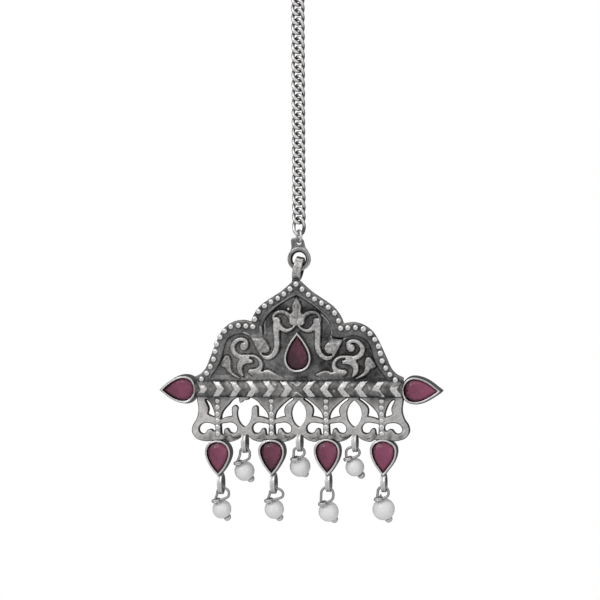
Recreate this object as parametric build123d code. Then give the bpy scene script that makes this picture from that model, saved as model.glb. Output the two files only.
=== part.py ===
"""A maang tikka: a cast silver crown with seven set stones and seven pearl drops, on a curb chain with a hair hook.

Millimetres, +Z up. The origin is the inner top of the hair hook's bow, where the jewel hangs in the hair.
The crown is drawn face on in x and z, in its own frame: x to the right from its middle, z up from the middle
of the chevron bar. A front height is measured from the crown's middle plane towards its face, which is -Y.
"""
from build123d import *
import math
import os

# --- hair hook, origin at the inner top of its bow ---
HOOK_WIRE = 0.9
HOOK_BOW_RADIUS = 1.6
HOOK_SHANK_END = -4.6
HOOK_TIP_END = -5.6
HOOK_EYE_CENTRE = -6.85
HOOK_EYE_RADIUS = 1.12
HOOK_EYE_WIRE = 0.7

# --- curb chain ---
LINK_COUNT = 24
LINK_PITCH = 1.655
LINK_HALF_WIDTH = 0.9
LINK_HALF_LENGTH = 1.25
LINK_TWIST = 0.45
LINK_WIRE = 0.6
LINK_STEPS = 14
WIRE_SIDES = 6
FIRST_LINK_Z = -8.35
END_LINK_REACH = 1.65
SMALL_LINK_HALF_WIDTH = 1.1
SMALL_LINK_HALF_HEIGHT = 1.0
SMALL_LINK_WIRE = 0.5
SMALL_LINK_TURN = 120.0
CHAIN_GAP = 0.12
NECK_GAP = 0.18

# --- connector: a round eye with a drilled neck ---
CONNECTOR_EYE_RADIUS = 1.63
CONNECTOR_EYE_WIRE = 0.9
CONNECTOR_EYE_TRIM = 0.2
CONNECTOR_NECK_HOLE = 0.45
CONNECTOR_NECK_HOLE_Z = 2.95
CONNECTOR_NECK_DEPTH = 0.5
CONNECTOR_NECK = [  # x, z round the neck from the eye's right shoulder to its left
    (1.75, 0.95), (1.55, 1.5), (1.15, 2.05), (0.98, 2.6), (0.85, 3.2), (0.4, 3.65), (-0.2, 3.78), (-0.8, 3.7),
    (-1.3, 3.6), (-1.45, 3.1), (-1.37, 2.4), (-1.42, 1.8), (-1.75, 0.95)]

# --- how the crown hangs from the connector's eye ---
HINGE_IN_CROWN = 21.22
CROWN_SHIFT = -0.22
CROWN_ROLL = 0.37
SWING_BALANCE = 0.28
PLATE_SKEW = 0.0021
SHEET_SKEW = 0.0011

# --- front heights of the crown's layers ---
PLATE_BACK = -0.4
GROUND = 0.35
BAND = 0.9
RELIEF = 1.05
BAR_EDGE = 0.75
BAR_CREST = 1.3
CHEVRON_RISE = 0.18
SHEET_BACK = -1.1
SHEET_FRONT = -0.15

# --- sizes of the crown's features ---
BAR_HALF_LENGTH = 18.2
BAR_HALF_HEIGHT = 1.5
BAR_MIDDLE = 0.14
CHEVRON_PITCH = 3.05
CHEVRON_FIRST = 1.0
CHEVRON_SHIFT = 0.08
CHEVRONS_A_SIDE = 6
CHEVRON_REACH = 1.1
CHEVRON_ARM = 1.15
BORDER_GRANULE_RADIUS = 0.47
STEM_GRANULE_RADIUS = 0.43
APEX_GRANULE = (0.0, 18.45)
STRAY_GRANULE = (-1.5, 14.05)
STRAY_GRANULE_RADIUS = 0.24
GRANULE_SIDES = 10
GRANULE_ROOT = 0.1
STEMS = (-14.7, -4.9, 4.9, 14.7)
STEM_HALF_WIDTH = 0.42
STEM_TOP = -1.0
STEM_BOTTOM = -8.6
STEM_RISE = 0.1
STEM_GRANULES = 6
STEM_FIRST_GRANULE = -2.0
STEM_GRANULE_PITCH = 1.15
RING_POSTS = (-9.85, 0.0, 9.85)
SHEET_TOP = -0.9
TIP_SHARE = 1.46
CUP_FLOOR = 0.4
STONE_GAP = 0.09
STONE_SIDES = 14
STONE_TABLE = 0.72
STONE_TABLE_RISE = 0.12
STONE_GIRDLE = (0.3, 0.45)
STONE_DEPTH = 1.3
STONE_FLOOR_GAP = 0.5

# --- the bail and the soldered rings, both edge on ---
BAIL_WIDTH = 1.5
BAIL_LEAN = 12.5
BAIL_FOOT = (-0.22, 19.1)
BAIL_TOP = 4.25
BAIL_STRIP = 0.85
BAIL_SIDE_STRIP = 0.5
BAIL_HALF_DEPTH = 1.45
BAIL_BLOCK = (1.3, 1.3, 1.4)
RING_WIDTH = 0.85
RING_STRIP = 0.45
RING_HALF_DEPTH = 1.5
RING_MIDDLE = -1.0

# --- pearl drops ---
DROP_WIRE = 0.46
EYE_PLANE = 0.65
PEARL_HOLE = 0.64
WRAP_RADIUS = 0.85
WRAP_HEIGHT = 0.5
WRAP_LIFT = 0.15
WRAP_SHARE = 0.45
KNOB_RADIUS = 0.7
KNOB_SHOULDER = 20.0
DROP_GAP = 0.1
BRIDGE_TURN = 235.0

LEFT, RIGHT = -1, 1
PLATE_EDGE = {  # right half, from the apex down to the side cup; two smooth runs that meet in a notch
    "middle lobe": [(0.65, 19.0), (1.5, 18.2), (2.75, 17.15), (4.0, 16.35), (5.3, 15.5), (6.5, 14.6),
                    (7.4, 13.5), (7.95, 12.5), (8.2, 11.75)],
    "outer lobe": [(8.2, 11.75), (9.2, 11.97), (10.1, 12.02), (11.3, 11.75), (12.3, 11.25), (13.3, 10.4),
                   (14.05, 9.3), (14.75, 7.85), (15.3, 6.6), (15.85, 5.3), (16.25, 4.3), (16.8, 3.4),
                   (17.5, 2.75), (18.6, 2.2)],
}
POCKET_EDGE = [  # right half of the sunk ground inside the border band, from its top down to the bar
    (0.0, 16.5), (1.2, 15.9), (3.1, 14.7), (4.7, 13.4), (5.7, 12.2), (6.15, 10.9), (6.2, 9.6), (7.4, 9.25),
    (8.6, 9.35), (9.6, 9.65), (10.6, 9.6), (11.8, 9.2), (12.7, 8.4), (13.2, 7.2), (13.5, 5.9), (14.0, 4.6),
    (14.8, 3.3), (15.6, 2.3), (15.9, 1.2)]
BORDER_GRANULES = [  # x, z
    (1.08, 17.6), (2.18, 16.68), (3.28, 15.92), (4.5, 15.25), (5.68, 14.53), (6.8, 13.55), (7.48, 12.2),
    (7.83, 10.9), (9.1, 11.0), (10.45, 11.05), (11.83, 10.83), (12.98, 10.03), (13.8, 9.0), (14.43, 7.78),
    (14.75, 6.53), (15.05, 5.2), (15.65, 3.93), (16.35, 2.78), (17.3, 1.78)]
SCROLLS = {  # x, z, half width along each raised stroke of the right half
    "stem of the u": [(3.55, 12.0, 0.6), (3.66, 11.0, 0.62), (3.7, 10.0, 0.52), (3.65, 9.0, 0.5),
                      (3.6, 7.8, 0.5), (3.8, 6.8, 0.48), (4.35, 6.03, 0.42), (5.2, 5.56, 0.37),
                      (5.95, 5.68, 0.3)],
    "crescent": [(3.3, 11.2, 0.5), (2.6, 10.6, 0.38), (1.9, 10.3, 0.32), (1.2, 10.45, 0.27),
                 (0.7, 10.8, 0.2), (0.4, 11.15, 0.12)],
    "arch": [(4.1, 12.0, 0.2), (4.15, 12.7, 0.22), (3.7, 13.35, 0.24), (2.85, 13.6, 0.26),
             (2.0, 13.4, 0.3), (1.3, 12.9, 0.36)],
    "spiral": [(9.55, 7.45, 0.7), (9.1, 7.7, 0.34), (9.15, 8.3, 0.32), (9.7, 8.65, 0.3), (10.4, 8.65, 0.3),
               (11.1, 8.25, 0.36), (11.6, 7.5, 0.4), (11.55, 6.8, 0.4), (11.15, 6.15, 0.4), (10.5, 5.75, 0.4),
               (9.7, 5.45, 0.42)],
    "lower strand": [(9.6, 5.8, 0.25), (8.5, 5.85, 0.2), (7.6, 5.75, 0.22), (6.95, 5.35, 0.25),
                     (6.52, 4.7, 0.3), (6.5, 4.1, 0.36), (6.85, 3.55, 0.42), (7.5, 3.2, 0.42), (8.4, 3.12, 0.42)],
    "leaf root": [(8.95, 5.4, 0.34), (9.5, 5.35, 0.42), (10.05, 5.3, 0.4)],
    "curled leaf": [(8.3, 4.9, 0.34), (9.0, 4.95, 0.42), (9.7, 4.9, 0.58), (10.25, 4.35, 0.52),
                    (10.4, 3.7, 0.45), (10.25, 3.05, 0.36), (9.85, 2.45, 0.16)],
}
FLAME_LEAF = [  # closed smooth outline of the right half
    (12.3, 5.7), (12.9, 5.8), (13.4, 5.2), (13.9, 4.3), (13.45, 3.85), (13.0, 3.75), (12.6, 3.15), (12.0, 2.6),
    (11.2, 2.2), (10.3, 1.95), (11.0, 2.5), (11.75, 3.1), (12.0, 3.9), (12.0, 4.9)]
ONE_SIDED = {  # closed smooth outlines that differ from left to right
    "left leaf": [(-4.95, 7.0), (-5.03, 7.45), (-5.35, 8.05), (-5.75, 8.65), (-6.05, 9.2), (-6.3, 9.95),
                  (-7.2, 9.8), (-8.4, 9.15), (-7.95, 8.45), (-7.5, 7.45), (-7.0, 6.55), (-6.45, 5.88),
                  (-6.1, 5.55), (-5.88, 5.75), (-6.15, 6.05), (-6.4, 6.38), (-5.9, 6.42), (-5.45, 6.42),
                  (-5.1, 6.62)],
    "right leaf": [(4.9, 7.27), (5.05, 7.78), (5.4, 8.28), (5.75, 8.8), (6.0, 9.3), (6.6, 9.1), (7.4, 9.0),
                   (8.3, 8.9), (7.95, 8.4), (7.6, 7.75), (7.25, 7.03), (6.85, 6.33), (6.45, 5.8), (6.2, 5.95),
                   (6.32, 6.35), (5.85, 6.38), (5.4, 6.5), (5.05, 6.83)],
    "left hill": [(-2.5, 2.1), (-3.5, 2.57), (-4.2, 2.97), (-4.9, 3.36), (-5.4, 3.47), (-5.9, 3.36),
                  (-6.35, 3.1), (-6.8, 3.4), (-7.7, 3.3), (-8.5, 2.8), (-8.2, 2.25), (-7.5, 1.75), (-6.0, 1.6),
                  (-4.0, 1.65)],
    "right hill": [(3.15, 2.5), (4.0, 3.05), (4.6, 3.3), (5.0, 3.37), (5.6, 3.3), (6.1, 3.05), (6.8, 3.3),
                   (7.8, 3.25), (8.65, 3.0), (8.4, 2.45), (7.7, 2.0), (6.4, 1.7), (4.8, 1.75)],
}
PALMETTE = [(0.0, 16.3), (0.35, 15.6), (0.75, 14.8), (0.82, 14.2), (0.72, 13.6), (1.1, 13.2), (1.45, 12.7),
            (1.3, 12.1), (1.28, 11.6), (0.95, 11.3), (0.5, 11.3), (0.0, 11.12)]

# the pierced sheet, as distances out from a beaded stem and z
INNER_UPPER = {"web": [(0.6, -5.2), (0.68, -4.6), (1.0, -3.9), (1.6, -3.2), (2.35, -2.5), (3.1, -1.9), (3.85, -1.5)],
               "strip": [(3.95, -1.7), (3.1, -2.35), (2.55, -2.9), (2.3, -3.5), (2.3, -4.1), (2.45, -4.72)],
               "shelf": [(2.45, -4.72), (1.8, -4.8), (1.2, -4.97), (0.6, -5.2)]}
INNER_LOWER = [(0.6, -6.15), (1.5, -5.95), (2.3, -5.85), (2.9, -6.0), (3.4, -6.45), (3.5, -7.0), (3.3, -7.5),
               (2.75, -7.7), (2.2, -7.5), (1.95, -7.1), (1.7, -6.85), (1.4, -6.85), (1.15, -7.05), (1.05, -7.5),
               (0.95, -7.95), (0.75, -8.0), (0.62, -7.7), (0.58, -6.9)]
OUTER_UPPER = {"web": [(0.6, -4.85), (0.65, -4.2), (0.95, -3.3), (1.35, -2.5), (1.8, -2.05), (2.2, -1.85)],
               "strip": [(2.25, -2.0), (1.95, -2.6), (1.7, -3.2), (1.7, -3.8), (1.9, -4.3)],
               "shelf": [(1.9, -4.3), (1.5, -4.55), (1.05, -4.72), (0.6, -4.85)]}
OUTER_LOWER = [(0.5, -6.65), (0.8, -6.2), (1.6, -5.95), (2.4, -5.95), (3.1, -6.25), (3.5, -6.8), (3.5, -7.3),
               (3.15, -7.7), (2.65, -7.8), (2.25, -7.55), (1.95, -7.15), (1.55, -6.98), (1.15, -7.05),
               (0.85, -7.3), (0.55, -7.2)]
LENS = [(0.1, -1.95), (0.8, -2.7), (1.2, -3.5), (1.32, -4.4), (1.1, -5.4), (0.6, -6.2), (0.0, -6.65)]
SHEET_LOBE = [(1.2, -8.85), (2.0, -9.25), (2.9, -9.1), (3.7, -8.75), (4.4, -8.1)]
SHEET_END = [(2.1, -9.15), (2.9, -9.05), (3.95, -8.7), (4.6, -8.0), (4.85, -7.2), (4.6, -6.2), (4.0, -5.3),
             (3.65, -4.2), (3.6, -3.2), (3.8, -2.0)]
BREAK_TOP = [(-12.95, -3.2), (-12.1, -2.1), (-11.2, -1.5), (-10.85, -1.7), (-10.65, -2.4), (-10.2, -2.25),
             (-9.6, -1.95), (-9.1, -1.85), (-8.7, -1.5), (-7.5, -2.1), (-6.6, -3.2)]
BREAK_PRONGS = [(-6.6, -3.2), (-6.9, -4.3), (-7.3, -4.65), (-7.36, -4.0), (-7.36, -3.4), (-7.5, -3.0),
                (-7.88, -2.85), (-8.27, -3.05), (-8.47, -3.45), (-8.7, -4.0), (-9.7, -3.3), (-11.0, -4.0),
                (-10.98, -3.45), (-11.15, -3.05), (-11.55, -2.78), (-12.0, -3.05), (-12.15, -3.6),
                (-12.12, -4.2), (-12.15, -4.7), (-12.5, -4.3), (-12.95, -3.2)]

# cup: x, z of its middle, half width, length, direction of its tip in degrees, wall and front heights
CUPS = {
    "centre": dict(x=0.26, z=6.6, half_width=2.43, length=7.1, tip=90, wall=0.42, back=0.0, rim=1.9),
    "left": dict(x=-21.98, z=-0.08, half_width=2.65, length=7.3, tip=182, wall=0.62, back=-1.75, rim=0.5),
    "right": dict(x=21.7, z=-0.16, half_width=2.53, length=7.35, tip=-1, wall=0.58, back=-1.75, rim=0.5),
    "lower_1": dict(x=-14.76, z=-12.32, half_width=2.4, length=6.6, tip=-89, wall=0.42, back=-2.0, rim=0.2),
    "lower_2": dict(x=-5.0, z=-12.05, half_width=2.4, length=6.6, tip=-90, wall=0.42, back=-2.0, rim=0.2),
    "lower_3": dict(x=4.98, z=-11.88, half_width=2.4, length=6.6, tip=-89, wall=0.42, back=-2.0, rim=0.2),
    "lower_4": dict(x=14.9, z=-11.82, half_width=2.4, length=6.55, tip=-91, wall=0.42, back=-2.0, rim=0.2),
}
# soldered ring: x, z of its outer top and bottom
RINGS = {
    "under_1": dict(x=-14.45, top=-14.9, bottom=-18.8),
    "under_2": dict(x=-4.82, top=-14.75, bottom=-18.55),
    "under_3": dict(x=5.05, top=-14.55, bottom=-18.05),
    "under_4": dict(x=14.85, top=-14.5, bottom=-17.95),
    "post_1": dict(x=-9.98, top=-7.6, bottom=-11.4),
    "post_2": dict(x=-0.05, top=-7.5, bottom=-11.05),
    "post_3": dict(x=9.83, top=-7.5, bottom=-11.0),
}
# drop: its eye's middle and half sizes, its pearl's middle and diameter, and how far the drilled axis turns:
# tilt from the vertical, its top to the left, and lean, its top to the front
DROPS = [
    dict(eye=(-14.07, -18.6), reach=(1.12, 1.0), pearl=(-14.62, -21.58), diameter=3.45, tilt=23, lean=34),
    dict(eye=(-9.97, -11.55), reach=(0.95, 1.15), pearl=(-10.4, -14.7), diameter=3.6, tilt=27, lean=38),
    dict(eye=(-4.32, -18.5), reach=(1.25, 0.9), pearl=(-5.02, -21.38), diameter=3.5, tilt=22, lean=34),
    dict(eye=(-0.15, -11.1), reach=(1.0, 0.85), pearl=(-0.35, -13.8), diameter=3.75, tilt=20, lean=46),
    dict(eye=(4.83, -18.5), reach=(1.12, 1.3), pearl=(4.75, -21.65), diameter=3.6, tilt=26, lean=38),
    dict(eye=(9.43, -11.0), reach=(1.2, 0.9), pearl=(9.6, -13.7), diameter=3.3, tilt=33, lean=29),
    dict(eye=(14.72, -17.9), reach=(0.97, 1.0), pearl=(14.58, -21.0), diameter=3.95, tilt=20, lean=32),
]


# ---------------------------------------------------------------- outlines
def hand(x, z):
    """A point of the crown as made by hand: the left side stands a little taller than the right."""
    if z > 0:
        return Vector(x, z * (1 - PLATE_SKEW * x))
    return Vector(x, z * (1 - SHEET_SKEW * x))


def moved_by_hand(point):
    """The same for a point given as a vector."""
    return hand(point.X, point.Y)


def on_side(points, side):
    """Points of the right half, or their mirror image for the left half."""
    return [(side * x, *rest) for x, *rest in points]


def curved_edge(before, start, end, after):
    """An arc from start to end that turns smoothly between its neighbours, or a line where it is straight."""
    middle = (start + end) * (9 / 16) - (before + after) * (1 / 16)
    if (middle - (start + end) * 0.5).length < 0.004:
        return Edge.make_line(start, end)
    return Edge.make_three_point_arc(start, middle, end)


def smooth_run(points):
    """Edges through the points from the first to the last."""
    padded = [points[0] * 2 - points[1], *points, points[-1] * 2 - points[-2]]
    return [curved_edge(*four) for four in zip(padded, padded[1:], padded[2:], padded[3:])]


def smooth_loop(points):
    """Edges through the points and back to the first."""
    padded = [points[-1], *points, points[0], points[1]]
    return [curved_edge(*four) for four in zip(padded, padded[1:], padded[2:], padded[3:])]


def face_of(edges):
    """The flat face inside a closed chain of edges."""
    return Face(Wire(edges))


def stroke(rows):
    """The outline of a raised stroke that follows rows of x, z and half width, with round ends."""
    line = [Vector(x, z) for x, z, _ in rows]
    padded = [line[0] * 2 - line[1], *line, line[-1] * 2 - line[-2]]
    left, right = [], []
    for before, point, after, row in zip(padded, line, padded[2:], rows):
        along = (after - before).normalized()
        across = Vector(-along.Y, along.X) * row[2]
        left.append(moved_by_hand(point + across))
        right.append(moved_by_hand(point - across))
    far_end = moved_by_hand(line[-1] + (line[-1] - line[-2]).normalized() * rows[-1][2])
    near_end = moved_by_hand(line[0] + (line[0] - line[1]).normalized() * rows[0][2])
    edges = smooth_run(left)
    edges.append(Edge.make_three_point_arc(left[-1], far_end, right[-1]))
    edges += smooth_run(right[::-1])
    edges.append(Edge.make_three_point_arc(right[0], near_end, left[0]))
    return face_of(edges)


def slab(face, low, high):
    """A face drawn in x and z, as a slab between two front heights."""
    return extrude(Plane.XZ.offset(low) * face, amount=high - low, dir=(0, -1, 0))


def pear_points(x, z, half_width, length, tip, count):
    """Points of a pear outline from its tip round to its tip, the tip pointing in the direction given in degrees."""
    aim = Vector(math.cos(math.radians(tip)), math.sin(math.radians(tip)))
    side = Vector(-aim.Y, aim.X)
    widest = 4 / (3 * math.sqrt(3))
    points = []
    for step in range(count + 1):
        t = 2 * math.pi * step / count
        along = length / 2 * math.cos(t)
        across = half_width / widest * math.sin(t) * abs(math.sin(t / 2))
        points.append(Vector(x, z) + aim * along + side * across)
    return points


def shrunk(cup, by):
    """A cup's pear made smaller all round by a distance. Its tip draws back further than its round end."""
    aim = math.radians(cup["tip"])
    back = by * (TIP_SHARE - 1) / 2
    return dict(x=cup["x"] - back * math.cos(aim), z=cup["z"] - back * math.sin(aim),
                half_width=cup["half_width"] - by, length=cup["length"] - by * (1 + TIP_SHARE), tip=cup["tip"])


def pear_face(shape):
    """A pear's face, with arcs."""
    return face_of(smooth_run(pear_points(**shape, count=20)))


# ---------------------------------------------------------------- faceted solids
def solid_of(polygons):
    """A closed solid from flat polygons."""
    return Solid(Shell([Face(Wire.make_polygon(corners)) for corners in polygons]))


def wire_loop(centreline, diameter, sides=WIRE_SIDES):
    """A closed loop of wire along a list of points, with a flat-sided section."""
    count = len(centreline)
    rings = []
    for i, point in enumerate(centreline):
        along = (centreline[(i + 1) % count] - centreline[i - 1]).normalized()
        outward = (point - sum(centreline, Vector()) * (1 / count))
        first = (outward - along * outward.dot(along)).normalized()
        second = along.cross(first)
        angles = [2 * math.pi * (k + 0.5) / sides for k in range(sides)]
        rings.append([point + (first * math.cos(a) + second * math.sin(a)) * (diameter / 2) for a in angles])
    return solid_of([triangle for i in range(count) for triangle in band_triangles(rings[i - 1], rings[i])])


def band_triangles(ring, next_ring):
    """Triangles between two rings of corners."""
    triangles = []
    for k in range(len(ring)):
        a, b = ring[k - 1], ring[k]
        c, d = next_ring[k], next_ring[k - 1]
        triangles += [[a, b, c], [a, c, d]]
    return triangles


# ---------------------------------------------------------------- hook and chain
def hair_hook():
    """A plain bent wire: a bow over the hair, a free tip behind and an eye for the chain below."""
    top = HOOK_WIRE / 2
    bow_centre = top - HOOK_BOW_RADIUS
    front = Vector(0, -HOOK_BOW_RADIUS, bow_centre)
    back = Vector(0, HOOK_BOW_RADIUS, bow_centre)
    eye_top = Vector(0, 0, HOOK_EYE_CENTRE + HOOK_EYE_RADIUS)
    shank_end = Vector(0, -HOOK_BOW_RADIUS, HOOK_SHANK_END)
    path = Wire([
        Edge.make_line(Vector(0, HOOK_BOW_RADIUS, HOOK_TIP_END), back),
        Edge.make_three_point_arc(back, Vector(0, 0, top), front),
        Edge.make_line(front, shank_end),
        Edge.make_line(shank_end, eye_top),
    ])
    bow = sweep(Plane(origin=path @ 0, z_dir=path % 0) * Circle(HOOK_WIRE / 2), path=path, transition=Transition.ROUND)
    eye = Pos(0, 0, HOOK_EYE_CENTRE) * Rot(0, 90, 0) * Torus(HOOK_EYE_RADIUS, HOOK_EYE_WIRE / 2)
    return bow + eye


def curb_link(reach=LINK_HALF_LENGTH):
    """One curb link about the origin: an oval loop of wire, twisted so that its neighbours lie flat.

    Its lower half may reach further down than its upper half reaches up.
    """
    centreline = []
    for step in range(LINK_STEPS):
        t = 2 * math.pi * step / LINK_STEPS
        half_length = LINK_HALF_LENGTH if math.sin(t) > 0 else reach
        centreline.append(Vector(LINK_HALF_WIDTH * math.cos(t), -LINK_TWIST * math.sin(2 * t),
                                 half_length * math.sin(t)))
    return wire_loop(centreline, LINK_WIRE)


def upright_loop(half_width, half_height, wire, turn=0.0):
    """An oval loop of wire that stands upright, face on or turned about the vertical."""
    centreline = []
    for step in range(LINK_STEPS):
        t = 2 * math.pi * step / LINK_STEPS
        centreline.append(Vector(half_width * math.cos(t), 0, half_height * math.sin(t)))
    return Rot(0, 0, turn) * wire_loop(centreline, wire)


def connector():
    """The cast eye that the crown hangs from, about the middle of its eye, with a drilled neck above."""
    outer = CONNECTOR_EYE_RADIUS + CONNECTOR_EYE_WIRE / 2
    neck = [Vector(x, z) for x, z in CONNECTOR_NECK]
    outline = face_of(smooth_run(neck) + [Edge.make_line(neck[-1], neck[0])])
    plate = slab(outline, -CONNECTOR_NECK_DEPTH / 2, CONNECTOR_NECK_DEPTH / 2)
    eye = Rot(90, 0, 0) * Torus(CONNECTOR_EYE_RADIUS, CONNECTOR_EYE_WIRE / 2)
    big_hole = Rot(90, 0, 0) * Cylinder(CONNECTOR_EYE_RADIUS - CONNECTOR_EYE_TRIM, outer)
    neck_hole = Pos(0, 0, CONNECTOR_NECK_HOLE_Z) * Rot(90, 0, 0) * Cylinder(CONNECTOR_NECK_HOLE, outer)
    return (plate - big_hole - neck_hole) + eye


# ---------------------------------------------------------------- crown
def plate_face():
    """The crown plate's whole outline."""
    edges = []
    for side in (RIGHT, LEFT):
        for run in PLATE_EDGE.values():
            edges += smooth_run([hand(x, z) for x, z in on_side(run, side)])
    apex, end = PLATE_EDGE["middle lobe"][0], PLATE_EDGE["outer lobe"][-1]
    low = (end[0], BAR_MIDDLE - BAR_HALF_HEIGHT)
    corners = [[apex, (-apex[0], apex[1])], [end, low], [low, (-low[0], low[1])],
               [(-low[0], low[1]), (-end[0], end[1])]]
    edges += [Edge.make_line(hand(*a), hand(*b)) for a, b in corners]
    return face_of(edges)


def pocket_face():
    """The sunk ground inside the border band."""
    right = [hand(x, z) for x, z in POCKET_EDGE]
    left = [hand(x, z) for x, z in on_side(POCKET_EDGE, LEFT)]
    return face_of(smooth_run(right) + smooth_run(left) + [Edge.make_line(right[-1], left[-1])])


def relief_faces():
    """Every raised scroll, leaf and hill on the ground."""
    faces = []
    for side in (LEFT, RIGHT):
        faces += [stroke(on_side(rows, side)) for rows in SCROLLS.values()]
    outlines = [FLAME_LEAF, on_side(FLAME_LEAF, LEFT), *ONE_SIDED.values()]
    faces += [face_of(smooth_loop([hand(x, z) for x, z in outline])) for outline in outlines]
    palmette = [hand(x, z) for x, z in PALMETTE]
    other = [hand(x, z) for x, z in on_side(PALMETTE, LEFT)]
    faces.append(face_of(smooth_run(palmette) + smooth_run(other)))
    return faces


def granule(x, z, seat, radius):
    """A round bead of silver soldered on a surface, with its seat's front height."""
    outline = Pos(hand(x, z)) * RegularPolygon(radius, GRANULE_SIDES)
    shoulder = seat + 0.5 * radius
    root = Plane.XZ.offset(seat - GRANULE_ROOT)
    drum = extrude(root * outline, amount=shoulder - seat + GRANULE_ROOT, dir=(0, -1, 0))
    return drum + extrude(Plane.XZ.offset(shoulder) * outline, amount=0.4 * radius, dir=(0, -1, 0), taper=45)


def border_granules():
    """The beads along the border, the apex bead and one stray bead beside the palmette."""
    beads = [granule(*APEX_GRANULE, BAND, BORDER_GRANULE_RADIUS),
             granule(*STRAY_GRANULE, GROUND, STRAY_GRANULE_RADIUS)]
    for side in (LEFT, RIGHT):
        beads += [granule(side * x, z, BAND, BORDER_GRANULE_RADIUS) for x, z in BORDER_GRANULES]
    return beads


def bar_solid(rise):
    """The convex bar along the crown's foot, with its surface raised by a small height."""
    half = BAR_HALF_HEIGHT
    edge, crest = BAR_EDGE + rise, BAR_CREST + rise
    section = Wire([
        Edge.make_line(Vector(0, -PLATE_BACK, -half), Vector(0, -edge, -half)),
        Edge.make_three_point_arc(Vector(0, -edge, -half), Vector(0, -crest, 0), Vector(0, -edge, half)),
        Edge.make_line(Vector(0, -edge, half), Vector(0, -PLATE_BACK, half)),
        Edge.make_line(Vector(0, -PLATE_BACK, half), Vector(0, -PLATE_BACK, -half)),
    ])
    bar = extrude(Face(section), amount=2 * BAR_HALF_LENGTH, dir=(1, 0, 0))
    return Pos(-BAR_HALF_LENGTH, 0, BAR_MIDDLE) * bar


def chevron_bar():
    """The bar with its raised chevrons, which all point to the middle."""
    chevrons = []
    for side in (LEFT, RIGHT):
        for index in range(CHEVRONS_A_SIDE):
            tip = CHEVRON_FIRST + CHEVRON_PITCH * index
            top = 2 * BAR_HALF_HEIGHT
            reach = 2 * CHEVRON_REACH
            arrow = [(tip, 0), (tip + reach, top), (tip + reach + CHEVRON_ARM, top), (tip + CHEVRON_ARM, 0),
                     (tip + reach + CHEVRON_ARM, -top), (tip + reach, -top)]
            corners = [Vector(side * x + CHEVRON_SHIFT, z + BAR_MIDDLE) for x, z in arrow]
            chevrons.append(slab(Face(Wire.make_polygon(corners)), 0, 2 * BAR_CREST))
    raised = bar_solid(CHEVRON_RISE)
    return [bar_solid(0)] + [chevron & raised for chevron in chevrons]


def around_stem(points, stem, side):
    """Points given as distances out from a stem, on its right or left."""
    return [hand(stem + side * u, z) for u, z in points]


def upper_opening(runs, stem, side):
    """A leaf-shaped opening beside a stem."""
    edges = [edge for run in runs.values() for edge in smooth_run(around_stem(run, stem, side))]
    corners = [around_stem([runs["web"][-1], runs["strip"][0]], stem, side)]
    return face_of(edges + [Edge.make_line(*pair) for pair in corners])


def sheet_openings():
    """All the openings of the pierced sheet."""
    openings = []
    for stem in STEMS:
        for side in (LEFT, RIGHT):
            outer = abs(stem + side) > abs(STEMS[-1])
            openings.append(upper_opening(OUTER_UPPER if outer else INNER_UPPER, stem, side))
            lower = OUTER_LOWER if outer else INNER_LOWER
            openings.append(face_of(smooth_loop(around_stem(lower, stem, side))))
    for post in RING_POSTS:
        edges = smooth_run(around_stem(LENS, post, RIGHT)) + smooth_run(around_stem(LENS, post, LEFT))
        ends = [around_stem([LENS[0]], post, side)[0] for side in (RIGHT, LEFT)]
        openings.append(face_of(edges + [Edge.make_line(*ends)]))
    torn = smooth_run([hand(x, z) for x, z in BREAK_TOP]) + smooth_run([hand(x, z) for x, z in BREAK_PRONGS])
    openings.append(face_of(torn))
    return openings


def pierced_sheet():
    """The pierced sheet below the bar, with its scalloped foot."""
    foot = [hand(-(STEMS[-1] + u), z) for u, z in SHEET_END[::-1]]
    runs = [foot]
    for stem, next_stem in zip(STEMS, STEMS[1:]):
        runs.append([runs[-1][-1], hand(stem + SHEET_LOBE[0][0], SHEET_LOBE[0][1])])
        runs.append(around_stem(SHEET_LOBE, stem, RIGHT))
        runs.append([runs[-1][-1], hand(next_stem - SHEET_LOBE[-1][0], SHEET_LOBE[-1][1])])
        runs.append(around_stem(SHEET_LOBE[::-1], next_stem, LEFT))
    last = [hand(STEMS[-1] + u, z) for u, z in SHEET_END]
    runs.append([runs[-1][-1], last[0]])
    runs.append(last)
    top_right, top_left = Vector(last[-1].X, SHEET_TOP), Vector(foot[0].X, SHEET_TOP)
    runs += [[last[-1], top_right], [top_right, top_left], [top_left, foot[0]]]
    sheet = face_of([edge for run in runs for edge in smooth_run(run)])
    for opening in sheet_openings():
        sheet -= opening
    return slab(sheet, SHEET_BACK, SHEET_FRONT)


def beaded_stem(stem):
    """A strip with a row of granules, from the bar down to a lower cup."""
    outline = Pos(stem, (STEM_TOP + STEM_BOTTOM) / 2) * Rectangle(2 * STEM_HALF_WIDTH, STEM_TOP - STEM_BOTTOM)
    front = SHEET_FRONT + STEM_RISE
    strip = slab(outline, SHEET_BACK, front)
    beads = [granule(stem, STEM_FIRST_GRANULE - STEM_GRANULE_PITCH * k, front, STEM_GRANULE_RADIUS)
             for k in range(STEM_GRANULES)]
    return [strip, *beads]


def cup_solid(cup):
    """A bezel cup: a pear-shaped wall with a closed back and a pocket for its stone."""
    back, rim = cup["back"], cup["rim"]
    pocket = slab(pear_face(shrunk(cup, cup["wall"])), back + CUP_FLOOR, rim + 1)
    return slab(pear_face(shrunk(cup, 0)), back, rim) - pocket


def edge_ring(x, top, bottom, half_depth, strip, middle, width):
    """An oval ring of strip seen edge on, which stands in the plane across the face."""
    centre, half_height = (top + bottom) / 2, (top - bottom) / 2
    hoop = Ellipse(half_depth, half_height) - Ellipse(half_depth - strip, half_height - strip)
    plane = Plane(origin=(x - width / 2, -middle, centre), x_dir=(0, 1, 0), z_dir=(1, 0, 0))
    return extrude(plane * hoop, amount=width, dir=(1, 0, 0))


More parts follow.
